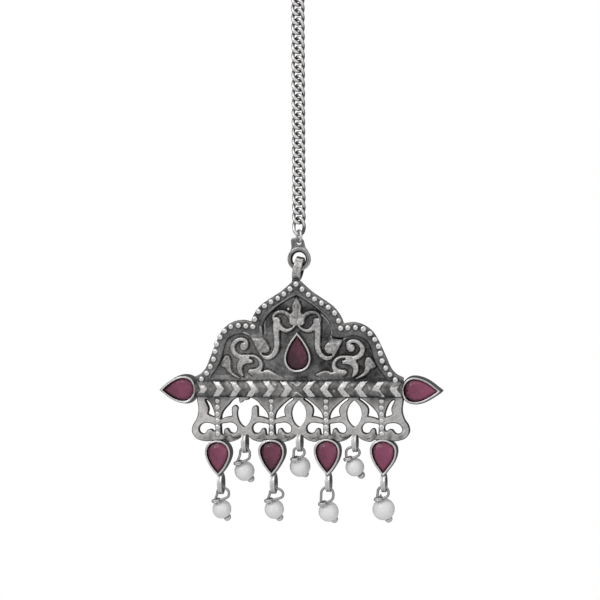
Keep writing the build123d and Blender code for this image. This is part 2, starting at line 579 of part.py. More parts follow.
def bail():
    """The strip loop on the crown's apex, leaning a little to the right."""
    outer = Pos(0, BAIL_TOP / 2) * Ellipse(BAIL_HALF_DEPTH, BAIL_TOP / 2)
    inner_height = BAIL_TOP - 2 * BAIL_STRIP
    inner = Pos(0, BAIL_TOP / 2) * Ellipse(BAIL_HALF_DEPTH - BAIL_SIDE_STRIP, inner_height / 2)
    plane = Plane(origin=(-BAIL_WIDTH / 2, 0, 0), x_dir=(0, 1, 0), z_dir=(1, 0, 0))
    loop = extrude(plane * (outer - inner), amount=BAIL_WIDTH, dir=(1, 0, 0))
    return Pos(BAIL_FOOT[0], SWING_BALANCE, BAIL_FOOT[1]) * Rot(0, BAIL_LEAN, 0) * (loop + Box(*BAIL_BLOCK))


def crown():
    """The whole soldered silver crown as one solid."""
    plate = slab(plate_face(), PLATE_BACK, GROUND)
    band = slab(plate_face() - pocket_face(), 0, BAND)
    pieces = [band, *[slab(face, 0, RELIEF) for face in relief_faces()]]
    pieces += border_granules() + chevron_bar() + [pierced_sheet()]
    for stem in STEMS:
        pieces += beaded_stem(stem)
    pieces += [cup_solid(cup) for cup in CUPS.values()]
    pieces += [edge_ring(**ring, half_depth=RING_HALF_DEPTH, strip=RING_STRIP, middle=RING_MIDDLE,
                         width=RING_WIDTH) for ring in RINGS.values()]
    pieces.append(bail())
    return plate.fuse(*pieces)


# ---------------------------------------------------------------- stones and drops
def stone(cup):
    """A flat-topped pear cut: a table, a ring of crown facets, a girdle and a low pavilion."""
    girdle = shrunk(cup, cup["wall"] + STONE_GAP)
    rim, back = cup["rim"], cup["back"]
    levels = {"table": rim + STONE_TABLE_RISE, "girdle top": rim - STONE_GIRDLE[0],
              "girdle foot": rim - STONE_GIRDLE[1], "culet": max(rim - STONE_DEPTH, back + STONE_FLOOR_GAP)}
    outline = pear_points(**girdle, count=STONE_SIDES)[:-1]
    middle = sum(outline, Vector()) * (1 / STONE_SIDES)
    table_outline = [middle + (corner - middle) * STONE_TABLE for corner in outline]

    def at(corners, level):
        return [Vector(c.X, -levels[level], c.Y) for c in corners]

    table = at(table_outline, "table")
    top, foot = at(outline, "girdle top"), at(outline, "girdle foot")
    culet = at([middle], "culet")[0]
    polygons = [table]
    for k in range(STONE_SIDES):
        polygons.append([table[k - 1], table[k], top[k], top[k - 1]])
        polygons.append([top[k - 1], top[k], foot[k], foot[k - 1]])
        polygons.append([foot[k - 1], foot[k], culet])
    return solid_of(polygons)


def neck_height(diameter):
    """How far the middle of a drop's wrapped neck lies from the pearl's middle."""
    return diameter / 2 + DROP_GAP + WRAP_LIFT + WRAP_HEIGHT / 2


def drilled_axis(pearl, diameter, tilt, lean):
    """Where a drop's drilled axis lies: a frame at the pearl's middle whose z runs up through the wrapped neck."""
    frame = Rot(0, -tilt, 0) * Rot(lean, 0, 0)
    neck = frame * Pos(0, 0, neck_height(diameter))
    return Pos(pearl[0], EYE_PLANE - neck.position.Y, pearl[1]) * frame


def wire_between(start, end):
    """A straight piece of drop wire."""
    return Plane(origin=(start + end) / 2, z_dir=end - start) * Cylinder(DROP_WIRE / 2, (end - start).length)


def domed_head():
    """The domed head under a pearl: a ball cut flat above its middle, with its flat side at the origin."""
    top = (Align.CENTER, Align.CENTER, Align.MAX)
    return Sphere(KNOB_RADIUS, arc_size1=-90, arc_size2=KNOB_SHOULDER, align=top)


def drop_wire(eye, reach, pearl, diameter, tilt, lean):
    """The wire of one drop: an open eye, a wrapped neck, a straight run through the pearl and a domed head."""
    clear = diameter / 2 + DROP_GAP
    axis = drilled_axis(pearl, diameter, tilt, lean)
    neck = (axis * Pos(0, 0, neck_height(diameter))).position
    wrap = Pos(neck) * Rot(0, -tilt * WRAP_SHARE, 0) * Rot(lean * WRAP_SHARE, 0, 0)
    coil = wrap * Cylinder(WRAP_RADIUS, WRAP_HEIGHT)
    core = Cylinder(DROP_WIRE / 2, 2 * neck_height(diameter))
    knob = Pos(0, 0, -clear) * domed_head()
    loop = Pos(eye[0], EYE_PLANE, eye[1]) * upright_loop(*reach, DROP_WIRE)
    turn = math.radians(BRIDGE_TURN)
    joint = Vector(eye[0] + reach[0] * math.cos(turn), EYE_PLANE, eye[1] + reach[1] * math.sin(turn))
    bridge = wire_between(neck, joint)
    return loop.fuse(bridge, coil, axis * core, axis * knob)


def drilled_pearl(pearl, diameter, tilt, lean):
    """A pearl drilled along its drop's wire."""
    return drilled_axis(pearl, diameter, tilt, lean) * (Sphere(diameter / 2) - Cylinder(PEARL_HOLE / 2, 2 * diameter))


# ---------------------------------------------------------------- the whole jewel
def chain_parts():
    """Nodes of the hook, the chain and the connector, and the z of the connector eye's middle."""
    nodes = {"hair_hook": hair_hook()}
    link = curb_link()
    z = FIRST_LINK_Z
    for index in range(1, LINK_COUNT + 1):
        nodes[f"chain_link_{index:02d}"] = Pos(0, 0, z) * link
        z -= LINK_PITCH
    nodes["end_link"] = Pos(0, 0, z) * curb_link(END_LINK_REACH)
    small_top = z - END_LINK_REACH + (LINK_WIRE + SMALL_LINK_WIRE) / 2 + CHAIN_GAP
    small_z = small_top - SMALL_LINK_HALF_HEIGHT
    small = upright_loop(SMALL_LINK_HALF_WIDTH, SMALL_LINK_HALF_HEIGHT, SMALL_LINK_WIRE, SMALL_LINK_TURN)
    nodes["small_link"] = Pos(0, 0, small_z) * small
    hole_top = small_z - SMALL_LINK_HALF_HEIGHT + SMALL_LINK_WIRE / 2 + NECK_GAP
    eye_z = hole_top - CONNECTOR_NECK_HOLE - CONNECTOR_NECK_HOLE_Z
    nodes["connector"] = Pos(0, 0, eye_z) * connector()
    return nodes, eye_z


def pendant_parts():
    """Nodes of the crown with its stones and drops, in the crown's own frame."""
    nodes = {"crown": crown()}
    nodes.update({f"stone_{name}": stone(cup) for name, cup in CUPS.items()})
    for number, drop in enumerate(DROPS, start=1):
        nodes[f"drop_wire_{number}"] = drop_wire(**drop)
        ball = {name: drop[name] for name in ("pearl", "diameter", "tilt", "lean")}
        nodes[f"pearl_{number}"] = drilled_pearl(**ball)
    return nodes


def hang(shape, eye_z):
    """A piece of the pendant, moved from the crown's frame to where it hangs in the connector's eye."""
    hinge_z = eye_z - CONNECTOR_EYE_RADIUS
    rolled = Rot(0, -CROWN_ROLL, 0) * shape
    return Pos(CROWN_SHIFT, -SWING_BALANCE, hinge_z - HINGE_IN_CROWN) * rolled


def main():
    """Writes one STEP file for each node."""
    os.makedirs("parts", exist_ok=True)
    nodes, eye_z = chain_parts()
    print("connector eye z", round(eye_z, 3), "hinge z", round(eye_z - CONNECTOR_EYE_RADIUS, 3))
    nodes.update({name: hang(shape, eye_z) for name, shape in pendant_parts().items()})
    for name, shape in nodes.items():
        export_step(shape, f"parts/{name}.step")
    print(len(nodes), "nodes")


main()
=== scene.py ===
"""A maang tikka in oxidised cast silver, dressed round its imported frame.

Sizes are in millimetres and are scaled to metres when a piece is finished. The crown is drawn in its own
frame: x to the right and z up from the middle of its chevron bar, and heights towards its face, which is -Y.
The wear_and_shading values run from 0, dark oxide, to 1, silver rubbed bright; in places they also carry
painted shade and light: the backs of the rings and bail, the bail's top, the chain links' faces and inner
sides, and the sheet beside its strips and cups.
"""

import logging
import math
from dataclasses import dataclass, field
from enum import Enum
from typing import Sequence

import bmesh
import bpy
import numpy as np
from mathutils import Matrix, Vector

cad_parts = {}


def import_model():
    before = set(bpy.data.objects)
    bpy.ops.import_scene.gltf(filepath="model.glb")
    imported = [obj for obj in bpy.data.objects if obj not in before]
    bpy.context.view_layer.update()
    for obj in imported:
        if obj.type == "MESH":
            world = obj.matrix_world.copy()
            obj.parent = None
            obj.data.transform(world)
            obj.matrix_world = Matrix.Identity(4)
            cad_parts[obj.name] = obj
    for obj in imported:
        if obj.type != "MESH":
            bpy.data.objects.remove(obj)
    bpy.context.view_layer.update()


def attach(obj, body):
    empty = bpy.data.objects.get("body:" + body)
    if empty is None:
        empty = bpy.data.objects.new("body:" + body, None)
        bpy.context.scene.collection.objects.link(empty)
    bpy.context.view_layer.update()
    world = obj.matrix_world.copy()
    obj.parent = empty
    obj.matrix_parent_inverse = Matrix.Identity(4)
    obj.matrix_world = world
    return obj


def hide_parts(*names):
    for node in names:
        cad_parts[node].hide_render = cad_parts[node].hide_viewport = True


LOG = logging.getLogger("maang_tikka")
MM = 0.001
# Mesh attributes: rubbing with painted shade and light for the metal, and painted light in each facet of the
# stones.
WEAR_AND_SHADING = "wear_and_shading"
FACET_LIGHT = "tone"
FAR = 2.0  # past this many millimetres a place counts as far off an outline
TINY = 1e-12

Mesh = bmesh.types.BMesh
Node = bpy.types.Node
Socket = bpy.types.NodeSocket
Tree = bpy.types.NodeTree
Pair = tuple[float, float]
Triple = tuple[float, float, float]
Row = tuple[float, ...]
Field = np.ndarray


class Body(Enum):
    """The frame's moving bodies."""

    CHAIN = "chain"
    PENDANT = "pendant"


class Slot(Enum):
    """The record's material slots."""

    CAST_SILVER = "cast_silver"
    WIRE_SILVER = "wire_silver"
    STONE = "raspberry_stone"
    PEARL = "pearl"


class Back(Enum):
    """How a sculpted sheet is closed behind its face."""

    FLAT = "flat"
    MIRRORED = "mirrored"


# --- where things hang ---
LINK_COUNT = 24
LINK_PITCH = 1.655
FIRST_LINK_Z = -8.35
END_LINK_Z = FIRST_LINK_Z - LINK_COUNT * LINK_PITCH
SMALL_LINK_Z = END_LINK_Z - 1.98
CONNECTOR_Z = END_LINK_Z - 5.95
HINGE_Z = CONNECTOR_Z - 1.63
PLATE_SKEW = 0.0021
SHEET_SKEW = 0.0011
BAR_MIDDLE = 0.14
HINGE_OVER_BAR = 21.22
CROWN_SHIFT = (-0.22, -0.28, HINGE_Z - HINGE_OVER_BAR)
CROWN_LEAN = -0.37
CROWN_PLACE = Matrix.Translation(CROWN_SHIFT) @ Matrix.Rotation(math.radians(CROWN_LEAN), 4, "Y")

# --- the crown's drawing, right half ---
MIDDLE_LOBE = [
    (0.65, 19.0), (1.5, 18.2), (2.75, 17.15), (4.0, 16.35), (5.3, 15.5), (6.5, 14.6), (7.4, 13.5),
    (7.95, 12.5), (8.2, 11.75)]
OUTER_LOBE = [
    (8.2, 11.75), (9.2, 11.97), (10.1, 12.02), (11.3, 11.75), (12.3, 11.25), (13.3, 10.4), (14.05, 9.3),
    (14.75, 7.85), (15.3, 6.6), (15.85, 5.3), (16.25, 4.3), (16.8, 3.4), (17.5, 2.75), (18.6, 2.2)]
POCKET_EDGE = [
    (0.0, 16.5), (1.2, 15.9), (3.1, 14.7), (4.7, 13.4), (5.7, 12.2), (6.15, 10.9), (6.2, 9.6), (7.4, 9.25),
    (8.6, 9.35), (9.6, 9.65), (10.6, 9.6), (11.8, 9.2), (12.7, 8.4), (13.2, 7.2), (13.5, 5.9), (14.0, 4.6),
    (14.8, 3.3), (15.6, 2.3), (15.9, 1.2)]
BORDER_GRANULES = [
    (1.08, 17.6), (2.18, 16.68), (3.28, 15.92), (4.5, 15.25), (5.68, 14.53), (6.8, 13.55), (7.48, 12.2),
    (7.83, 10.9), (9.1, 11.0), (10.45, 11.05), (11.83, 10.83), (12.98, 10.03), (13.8, 9.0), (14.43, 7.78),
    (14.75, 6.53), (15.05, 5.2), (15.65, 3.93), (16.35, 2.78), (17.3, 1.78)]
SCROLLS = {  # x, z, half width along each raised stroke
    "stem of the u": [
        (3.55, 12.0, 0.6), (3.66, 11.0, 0.62), (3.7, 10.0, 0.52), (3.65, 9.0, 0.5), (3.6, 7.8, 0.5),
        (3.8, 6.8, 0.48), (4.35, 6.03, 0.42), (5.2, 5.56, 0.37), (5.95, 5.68, 0.3)],
    "crescent": [
        (3.3, 11.2, 0.5), (2.6, 10.6, 0.38), (1.9, 10.3, 0.32), (1.2, 10.45, 0.27), (0.7, 10.8, 0.2),
        (0.4, 11.15, 0.12)],
    "arch": [
        (4.1, 12.0, 0.2), (4.15, 12.7, 0.22), (3.7, 13.35, 0.24), (2.85, 13.6, 0.26), (2.0, 13.4, 0.3),
        (1.3, 12.9, 0.36)],
    "spiral": [
        (9.55, 7.45, 0.7), (9.1, 7.7, 0.34), (9.15, 8.3, 0.32), (9.7, 8.65, 0.3), (10.4, 8.65, 0.3),
        (11.1, 8.25, 0.36), (11.6, 7.5, 0.4), (11.55, 6.8, 0.4), (11.15, 6.15, 0.4), (10.5, 5.75, 0.4),
        (9.7, 5.45, 0.42)],
    "lower strand": [
        (9.6, 5.8, 0.25), (8.5, 5.85, 0.2), (7.6, 5.75, 0.22), (6.95, 5.35, 0.25), (6.52, 4.7, 0.3),
        (6.5, 4.1, 0.36), (6.85, 3.55, 0.42), (7.5, 3.2, 0.42), (8.4, 3.12, 0.42)],
    "leaf root": [(8.95, 5.4, 0.34), (9.5, 5.35, 0.42), (10.05, 5.3, 0.4)],
    "curled leaf": [
        (8.3, 4.9, 0.34), (9.0, 4.95, 0.42), (9.7, 4.9, 0.58), (10.25, 4.35, 0.52), (10.4, 3.7, 0.45),
        (10.25, 3.05, 0.36), (9.85, 2.45, 0.16)],
}
FLAME_LEAF = [  # closed smooth outline of the right half
    (12.3, 5.7), (12.9, 5.8), (13.4, 5.2), (13.9, 4.3), (13.45, 3.85), (13.0, 3.75), (12.6, 3.15),
    (12.0, 2.6), (11.2, 2.2), (10.3, 1.95), (11.0, 2.5), (11.75, 3.1), (12.0, 3.9), (12.0, 4.9)]
ONE_SIDED = {  # closed smooth outlines that differ from left to right
    "left leaf": [
        (-4.95, 7.0), (-5.03, 7.45), (-5.35, 8.05), (-5.75, 8.65), (-6.05, 9.2), (-6.3, 9.95), (-7.2, 9.8),
        (-8.4, 9.15), (-7.95, 8.45), (-7.5, 7.45), (-7.0, 6.55), (-6.45, 5.88), (-6.1, 5.55), (-5.88, 5.75),
        (-6.15, 6.05), (-6.4, 6.38), (-5.9, 6.42), (-5.45, 6.42), (-5.1, 6.62)],
    "right leaf": [
        (4.9, 7.27), (5.05, 7.78), (5.4, 8.28), (5.75, 8.8), (6.0, 9.3), (6.6, 9.1), (7.4, 9.0), (8.3, 8.9),
        (7.95, 8.4), (7.6, 7.75), (7.25, 7.03), (6.85, 6.33), (6.45, 5.8), (6.2, 5.95), (6.32, 6.35),
        (5.85, 6.38), (5.4, 6.5), (5.05, 6.83)],
    "left hill": [
        (-2.5, 2.1), (-3.5, 2.57), (-4.2, 2.97), (-4.9, 3.36), (-5.4, 3.47), (-5.9, 3.36), (-6.35, 3.1),
        (-6.8, 3.4), (-7.7, 3.3), (-8.5, 2.8), (-8.2, 2.25), (-7.5, 1.75), (-6.0, 1.6), (-4.0, 1.65)],
    "right hill": [
        (3.15, 2.5), (4.0, 3.05), (4.6, 3.3), (5.0, 3.37), (5.6, 3.3), (6.1, 3.05), (6.8, 3.3), (7.8, 3.25),
        (8.65, 3.0), (8.4, 2.45), (7.7, 2.0), (6.4, 1.7), (4.8, 1.75)],
}
PALMETTE = [
    (0.0, 16.3), (0.35, 15.6), (0.75, 14.8), (0.82, 14.2), (0.72, 13.6), (1.1, 13.2), (1.45, 12.7),
    (1.3, 12.1), (1.28, 11.6), (0.95, 11.3), (0.5, 11.3), (0.0, 11.12)]
BAND_RIDGES = [  # x, z, half width, on both sides as they are
    [(4.2, 13.3, 0.08), (5.4, 12.2, 0.1), (6.0, 11.0, 0.12), (6.1, 9.8, 0.12), (6.0, 9.2, 0.14)],
    [(-5.75, 12.0, 0.06), (-5.85, 10.8, 0.08), (-5.8, 9.6, 0.06)],
    [(-6.5, 10.8, 0.14), (-6.4, 10.1, 0.16), (-6.1, 9.2, 0.14)],
    [(8.0, 8.7, 0.16), (8.55, 9.15, 0.13), (9.1, 9.35, 0.06)],
    [(-8.1, 8.75, 0.18), (-8.7, 9.4, 0.15), (-9.5, 9.85, 0.08)],
]
BAR_MARKS = [  # x, height over the bar's middle and half width along the strokes in its middle
    [(-0.8, 1.19, 0.06), (0.0, 0.62, 0.1), (0.8, 1.15, 0.06)],
    [(-0.8, -1.28, 0.06), (0.0, -0.65, 0.1), (0.8, -1.25, 0.06)]]
BAR_RUBBED = [(13.7, -0.9, 1.6, 1.0), (17.3, 1.2, 1.4, 0.9), (-17.2, 1.4, 1.8, 0.9), (-17.4, -1.2, 1.8, 0.8)]
BAR_SPOTS = [  # x, z, half width and half height of worn spots on the bar between its chevrons
    (-0.65, 1.2, 0.5, 0.3), (0.5, 1.2, 0.4, 0.3), (-0.1, 0.85, 0.35, 0.35), (-0.35, -0.6, 0.4, 0.35),
    (-7.6, 0.8, 0.4, 0.3), (-7.4, -0.3, 0.7, 0.5), (-3.85, 0.85, 0.4, 0.35), (9.9, 0.85, 0.45, 0.4),
    (6.6, -0.2, 0.35, 0.3), (12.9, 0.3, 0.4, 0.3), (-17.1, 0.1, 0.6, 0.6), (17.3, -0.5, 0.7, 0.6)]
RELIEF_WEAR = {"palmette": 0.5, "flame leaf": 0.53, "arch": 0.37, "scroll": 0.655, "left leaf": 0.42,
               "right leaf": 0.57, "left hill": 0.68, "right hill": 0.38}
LEAF_FADE = {"left leaf": (8.4, 9.8), "right leaf": (8.0, 9.1)}  # z between which a leaf sinks into the band
HATCHES = [  # x of the foot of each engraved line on the left hill, which leans to the right
    -9.3, -8.95, -8.6, -8.25, -7.9, -7.55, -7.2, -6.85, -6.5, -6.1]

CURLS = [  # x from a ring's post, z and half width of the engraved lines on the scallops
    [(-2.15, -8.85, 0.08), (-1.75, -8.68, 0.08), (-1.15, -8.4, 0.07), (-0.75, -8.0, 0.05)],
    [(-2.6, -8.1, 0.07), (-2.2, -8.45, 0.07), (-1.6, -8.35, 0.06)],
    [(1.5, -7.5, 0.07), (2.0, -7.85, 0.08), (2.35, -7.6, 0.06)], [(2.3, -8.75, 0.07), (2.7, -8.6, 0.05)],
]

CONNECTOR_NECK = [  # x, z round the connector's neck from its eye's right shoulder to its left
    (1.75, 0.95), (1.55, 1.5), (1.15, 2.05), (0.98, 2.6), (0.85, 3.2), (0.4, 3.65), (-0.2, 3.78),
    (-0.8, 3.7), (-1.3, 3.6), (-1.45, 3.1), (-1.37, 2.4), (-1.42, 1.8), (-1.75, 0.95)]

# the pierced sheet, as distances out from a beaded stem and z
STEMS = (-14.7, -4.9, 4.9, 14.7)
RING_POSTS = (-9.85, 0.0, 9.85)
INNER_UPPER = [[(0.6, -5.2), (0.68, -4.6), (1.0, -3.9), (1.6, -3.2), (2.35, -2.5), (3.1, -1.9), (3.85, -1.5)],
               [(3.95, -1.7), (3.1, -2.35), (2.55, -2.9), (2.3, -3.5), (2.3, -4.1), (2.45, -4.72)],
               [(2.45, -4.72), (1.8, -4.8), (1.2, -4.97), (0.6, -5.2)]]
INNER_LOWER = [
    (0.6, -6.15), (1.5, -5.95), (2.3, -5.85), (2.9, -6.0), (3.4, -6.45), (3.5, -7.0), (3.3, -7.5),
    (2.75, -7.7), (2.2, -7.5), (1.95, -7.1), (1.7, -6.85), (1.4, -6.85), (1.15, -7.05), (1.05, -7.5),
    (0.95, -7.95), (0.75, -8.0), (0.62, -7.7), (0.58, -6.9)]
OUTER_UPPER = [[(0.6, -4.85), (0.65, -4.2), (0.95, -3.3), (1.35, -2.5), (1.8, -2.05), (2.2, -1.85)],
               [(2.25, -2.0), (1.95, -2.6), (1.7, -3.2), (1.7, -3.8), (1.9, -4.3)],
               [(1.9, -4.3), (1.5, -4.55), (1.05, -4.72), (0.6, -4.85)]]
OUTER_LOWER = [
    (0.5, -6.65), (0.8, -6.2), (1.6, -5.95), (2.4, -5.95), (3.1, -6.25), (3.5, -6.8), (3.5, -7.3),
    (3.15, -7.7), (2.65, -7.8), (2.25, -7.55), (1.95, -7.15), (1.55, -6.98), (1.15, -7.05), (0.85, -7.3),
    (0.55, -7.2)]
LENS = [(0.1, -1.95), (0.8, -2.7), (1.2, -3.5), (1.32, -4.4), (1.1, -5.4), (0.6, -6.2), (0.0, -6.65)]
SHEET_LOBE = [(1.2, -8.85), (2.0, -9.25), (2.9, -9.1), (3.7, -8.75), (4.4, -8.1)]
SHEET_END = [
    (2.1, -9.15), (2.9, -9.05), (3.95, -8.7), (4.6, -8.0), (4.85, -7.2), (4.6, -6.2), (4.0, -5.3),
    (3.65, -4.2), (3.6, -3.2), (3.8, -2.0)]
BREAK_TOP = [
    (-12.95, -3.2), (-12.1, -2.1), (-11.2, -1.5), (-10.85, -1.7), (-10.65, -2.4), (-10.2, -2.25),
    (-9.6, -1.95), (-9.1, -1.85), (-8.7, -1.5), (-7.5, -2.1), (-6.6, -3.2)]
BREAK_PRONGS = [
    (-6.6, -3.2), (-6.9, -4.3), (-7.3, -4.65), (-7.36, -4.0), (-7.36, -3.4), (-7.5, -3.0), (-7.88, -2.85),
    (-8.27, -3.05), (-8.47, -3.45), (-8.7, -4.0), (-9.7, -3.3), (-11.0, -4.0), (-10.98, -3.45),
    (-11.15, -3.05), (-11.55, -2.78), (-12.0, -3.05), (-12.15, -3.6), (-12.12, -4.2), (-12.15, -4.7),
    (-12.5, -4.3), (-12.95, -3.2)]


# --- drawing on numbers ---
def smooth_line(points: Sequence[Row], closed: bool = False, steps: int = 4) -> Field:
    """A smooth curve through points.

    Args:
        points: Rows of two or more numbers each.
        closed: Whether the curve returns to its first point.
        steps: Divisions of each span.

    Returns:
        Rows along the curve, without a repeated last row when it is closed.
    """
    table = np.array(points, float)
    if closed:
        padded = np.vstack([table[-1:], table, table[:2]])
    else:
        padded = np.vstack([2 * table[0] - table[1], table, 2 * table[-1] - table[-2]])
    rows = []
    for a, b, c, d in zip(padded, padded[1:], padded[2:], padded[3:]):
        for t in np.arange(steps) / steps:
            rows.append(0.5 * (2 * b + (c - a) * t + (2 * a - 5 * b + 4 * c - d) * t ** 2
                               + (3 * b - a - 3 * c + d) * t ** 3))
    if not closed:
        rows.append(table[-1])
    return np.array(rows)


def both_sides(right: Field) -> Field:
    """A closed outline from its right half, given from top to bottom."""
    left = right[::-1] * [-1, 1]
    return np.vstack([right, left[1:] if abs(right[-1][0]) < 1e-9 else left])


def inside_distance(x: Field, z: Field, loop: Field) -> Field:
    """How far points lie inside a closed outline; negative outside.

    Args:
        x: The points' x.
        z: The points' z.
        loop: The outline's corners in order.

    Returns:
        A distance for each point, cut off at -FAR outside.
    """
    low, high = loop.min(axis=0) - FAR, loop.max(axis=0) + FAR
    near = (x > low[0]) & (x < high[0]) & (z > low[1]) & (z < high[1])
    px, pz = x[near], z[near]
    best = np.full(px.shape, FAR ** 2)
    inside = np.zeros(px.shape, bool)
    for (ax, az), (bx, bz) in zip(loop, np.roll(loop, -1, axis=0)):
        ex, ez = bx - ax, bz - az
        length = ex * ex + ez * ez
        if length < TINY:
            continue
        t = np.clip(((px - ax) * ex + (pz - az) * ez) / length, 0, 1)
        best = np.minimum(best, (px - ax - ex * t) ** 2 + (pz - az - ez * t) ** 2)
        if az != bz:
            crosses = (az > pz) != (bz > pz)
            inside ^= crosses & (px < ax + (pz - az) * ex / ez)
    result = np.full(x.shape, -FAR)
    result[near] = np.where(inside, 1, -1) * np.sqrt(best)
    return result


def stroke_distance(x: Field, z: Field, rows: Sequence[Row]) -> Field:
    """How far points lie inside a stroke; negative outside.

    Args:
        x: The points' x.
        z: The points' z.
        rows: The x, z and half width at points along the stroke.

    Returns:
        A distance for each point, cut off at -FAR outside.
    """
    line = smooth_line(rows)
    best = np.full(x.shape, -FAR)
    for a, b in zip(line, line[1:]):
        e = b - a
        t = np.clip(((x - a[0]) * e[0] + (z - a[1]) * e[1]) / (e[0] ** 2 + e[1] ** 2 + TINY), 0, 1)
        best = np.maximum(best, a[2] + e[2] * t - np.hypot(x - a[0] - e[0] * t, z - a[1] - e[1] * t))
    return best


def ramp(value: Field, start: float, end: float) -> Field:
    """A soft step from 0 at start to 1 at end."""
    t = np.clip((value - start) / (end - start), 0, 1)
    return t * t * (3 - 2 * t)


def hump(value: Field, middle: float, half: float) -> Field:
    """A soft ridge of height 1 about a middle value."""
    return ramp(value, middle - half, middle) * (1 - ramp(value, middle, middle + half))


def lumps(x: Field, z: Field, size: float, seed: int) -> Field:
    """Smooth random values from -1 to 1.

    Args:
        x: The points' x.
        z: The points' z.
        size: The distance over which the values change, about.
        seed: The seed of the random table.

    Returns:
        A value for each point.
    """
    side, shift = 97, 40
    table = np.random.default_rng(seed).uniform(-1, 1, (side, side))
    u, v = x / size + shift, z / size + shift
    i, j = np.floor(u).astype(int), np.floor(v).astype(int)
    f, g = ramp(u - i, 0, 1), ramp(v - j, 0, 1)
    top = table[i % side, j % side] * (1 - f) + table[(i + 1) % side, j % side] * f
    low = table[i % side, (j + 1) % side] * (1 - f) + table[(i + 1) % side, (j + 1) % side] * f
    return top * (1 - g) + low * g


def hand(x: float, z: float) -> Pair:
    """A point of the crown as made by hand: its left side stands a little taller than its right."""
    return x, z * (1 - (PLATE_SKEW if z > 0 else SHEET_SKEW) * x)


# --- finishes ---
@dataclass
class Wiring:
    """Short ways to add and link nodes in a tree."""

    tree: Tree

    def feed(self, socket: Socket, value: object) -> None:
        """Gives a socket its value.

        Args:
            socket: An input socket.
            value: A socket to link to it, or a number or colour to set.
        """
        if isinstance(value, Socket):
            self.tree.links.new(value, socket)
        else:
            socket.default_value = value

    def noise(self, vector: object, scale: object, detail: float, roughness: float) -> Socket:
        """Adds a noise texture.

        Args:
            vector: Its coordinates.
            scale: Its scale.
            detail: How many finer layers it has.
            roughness: How strong those are.

        Returns:
            The noise's value.
        """
        node = self.tree.nodes.new("ShaderNodeTexNoise")
        self.feed(node.inputs["Vector"], vector)
        self.feed(node.inputs["Scale"], scale)
        node.inputs["Detail"].default_value = detail
        node.inputs["Roughness"].default_value = roughness
        return node.outputs["Fac"]

    def math(self, kind: str, first: object, second: object, clamp: bool = False) -> Socket:
        """Adds a sum, product or power.

        Args:
            kind: The operation.
            first: Its first value.
            second: Its second value.
            clamp: Whether the result stays between 0 and 1.

        Returns:
            The result.
        """
        node = self.tree.nodes.new("ShaderNodeMath")
        node.operation = kind
        node.use_clamp = clamp
        self.feed(node.inputs[0], first)
        self.feed(node.inputs[1], second)
        return node.outputs[0]

    def blend(self, mask: object, first: object, second: object) -> Socket:
        """Adds a mix of two colours.

        Args:
            mask: 0 for the first colour and 1 for the second.
            first: The first colour.
            second: The second colour.

        Returns:
            The mixed colour.
        """
        node = self.tree.nodes.new("ShaderNodeMix")
        node.data_type = "RGBA"
        self.feed(node.inputs["Factor"], mask)
        self.feed(node.inputs["A"], first)
        self.feed(node.inputs["B"], second)
        return node.outputs["Result"]

    def spread(self, value: object, to: Pair, span: Pair = (0.0, 1.0)) -> Socket:
        """Adds a change of range.

        Args:
            value: The value to change.
            to: The results at the two ends of the span.
            span: The values at its two ends.

        Returns:
            The value in its new range.
        """
        node = self.tree.nodes.new("ShaderNodeMapRange")
        self.feed(node.inputs["Value"], value)
        for name, number in zip(("From Min", "From Max", "To Min", "To Max"), (*span, *to)):
            node.inputs[name].default_value = number
        return node.outputs["Result"]

    def attribute(self, name: str) -> Socket:
        """Adds a reader of a value that is stored on the mesh.

        Args:
            name: The attribute's name.

        Returns:
            Its value.
        """
        node = self.tree.nodes.new("ShaderNodeAttribute")
        node.attribute_name = name
        return node.outputs["Fac"]

    def grazing(self, power: float) -> Socket:
        """Adds a measure of how far the surface turns away from the eye.

        Args:
            power: How late it sets in.

        Returns:
            0 where the surface faces the eye and 1 at its outline.
        """
        node = self.tree.nodes.new("ShaderNodeLayerWeight")
        node.inputs["Blend"].default_value = 0.5
        return self.math("POWER", node.outputs["Facing"], power)

    def bump(self, shader: Node, height: object, strength: float, distance: float) -> None:
        """Roughens a shader's normal.

        Args:
            shader: The shader.
            height: The height of the surface.
            strength: How much of it shows.
            distance: The height in metres that a value of 1 stands for.
        """
        node = self.tree.nodes.new("ShaderNodeBump")
        node.inputs["Strength"].default_value = strength
        node.inputs["Distance"].default_value = distance
        self.feed(node.inputs["Height"], height)
        self.feed(shader.inputs["Normal"], node.outputs["Normal"])

    def group(self, tree: Tree, **values: object) -> Node:
        """Adds a group node.

        Args:
            tree: The group.
            **values: Its inputs by name, with an underscore for a space.

        Returns:
            The node.
        """
        node = self.tree.nodes.new("ShaderNodeGroup")
        node.node_tree = tree
        for name, value in values.items():
            self.feed(node.inputs[name.replace("_", " ")], value)
        return node


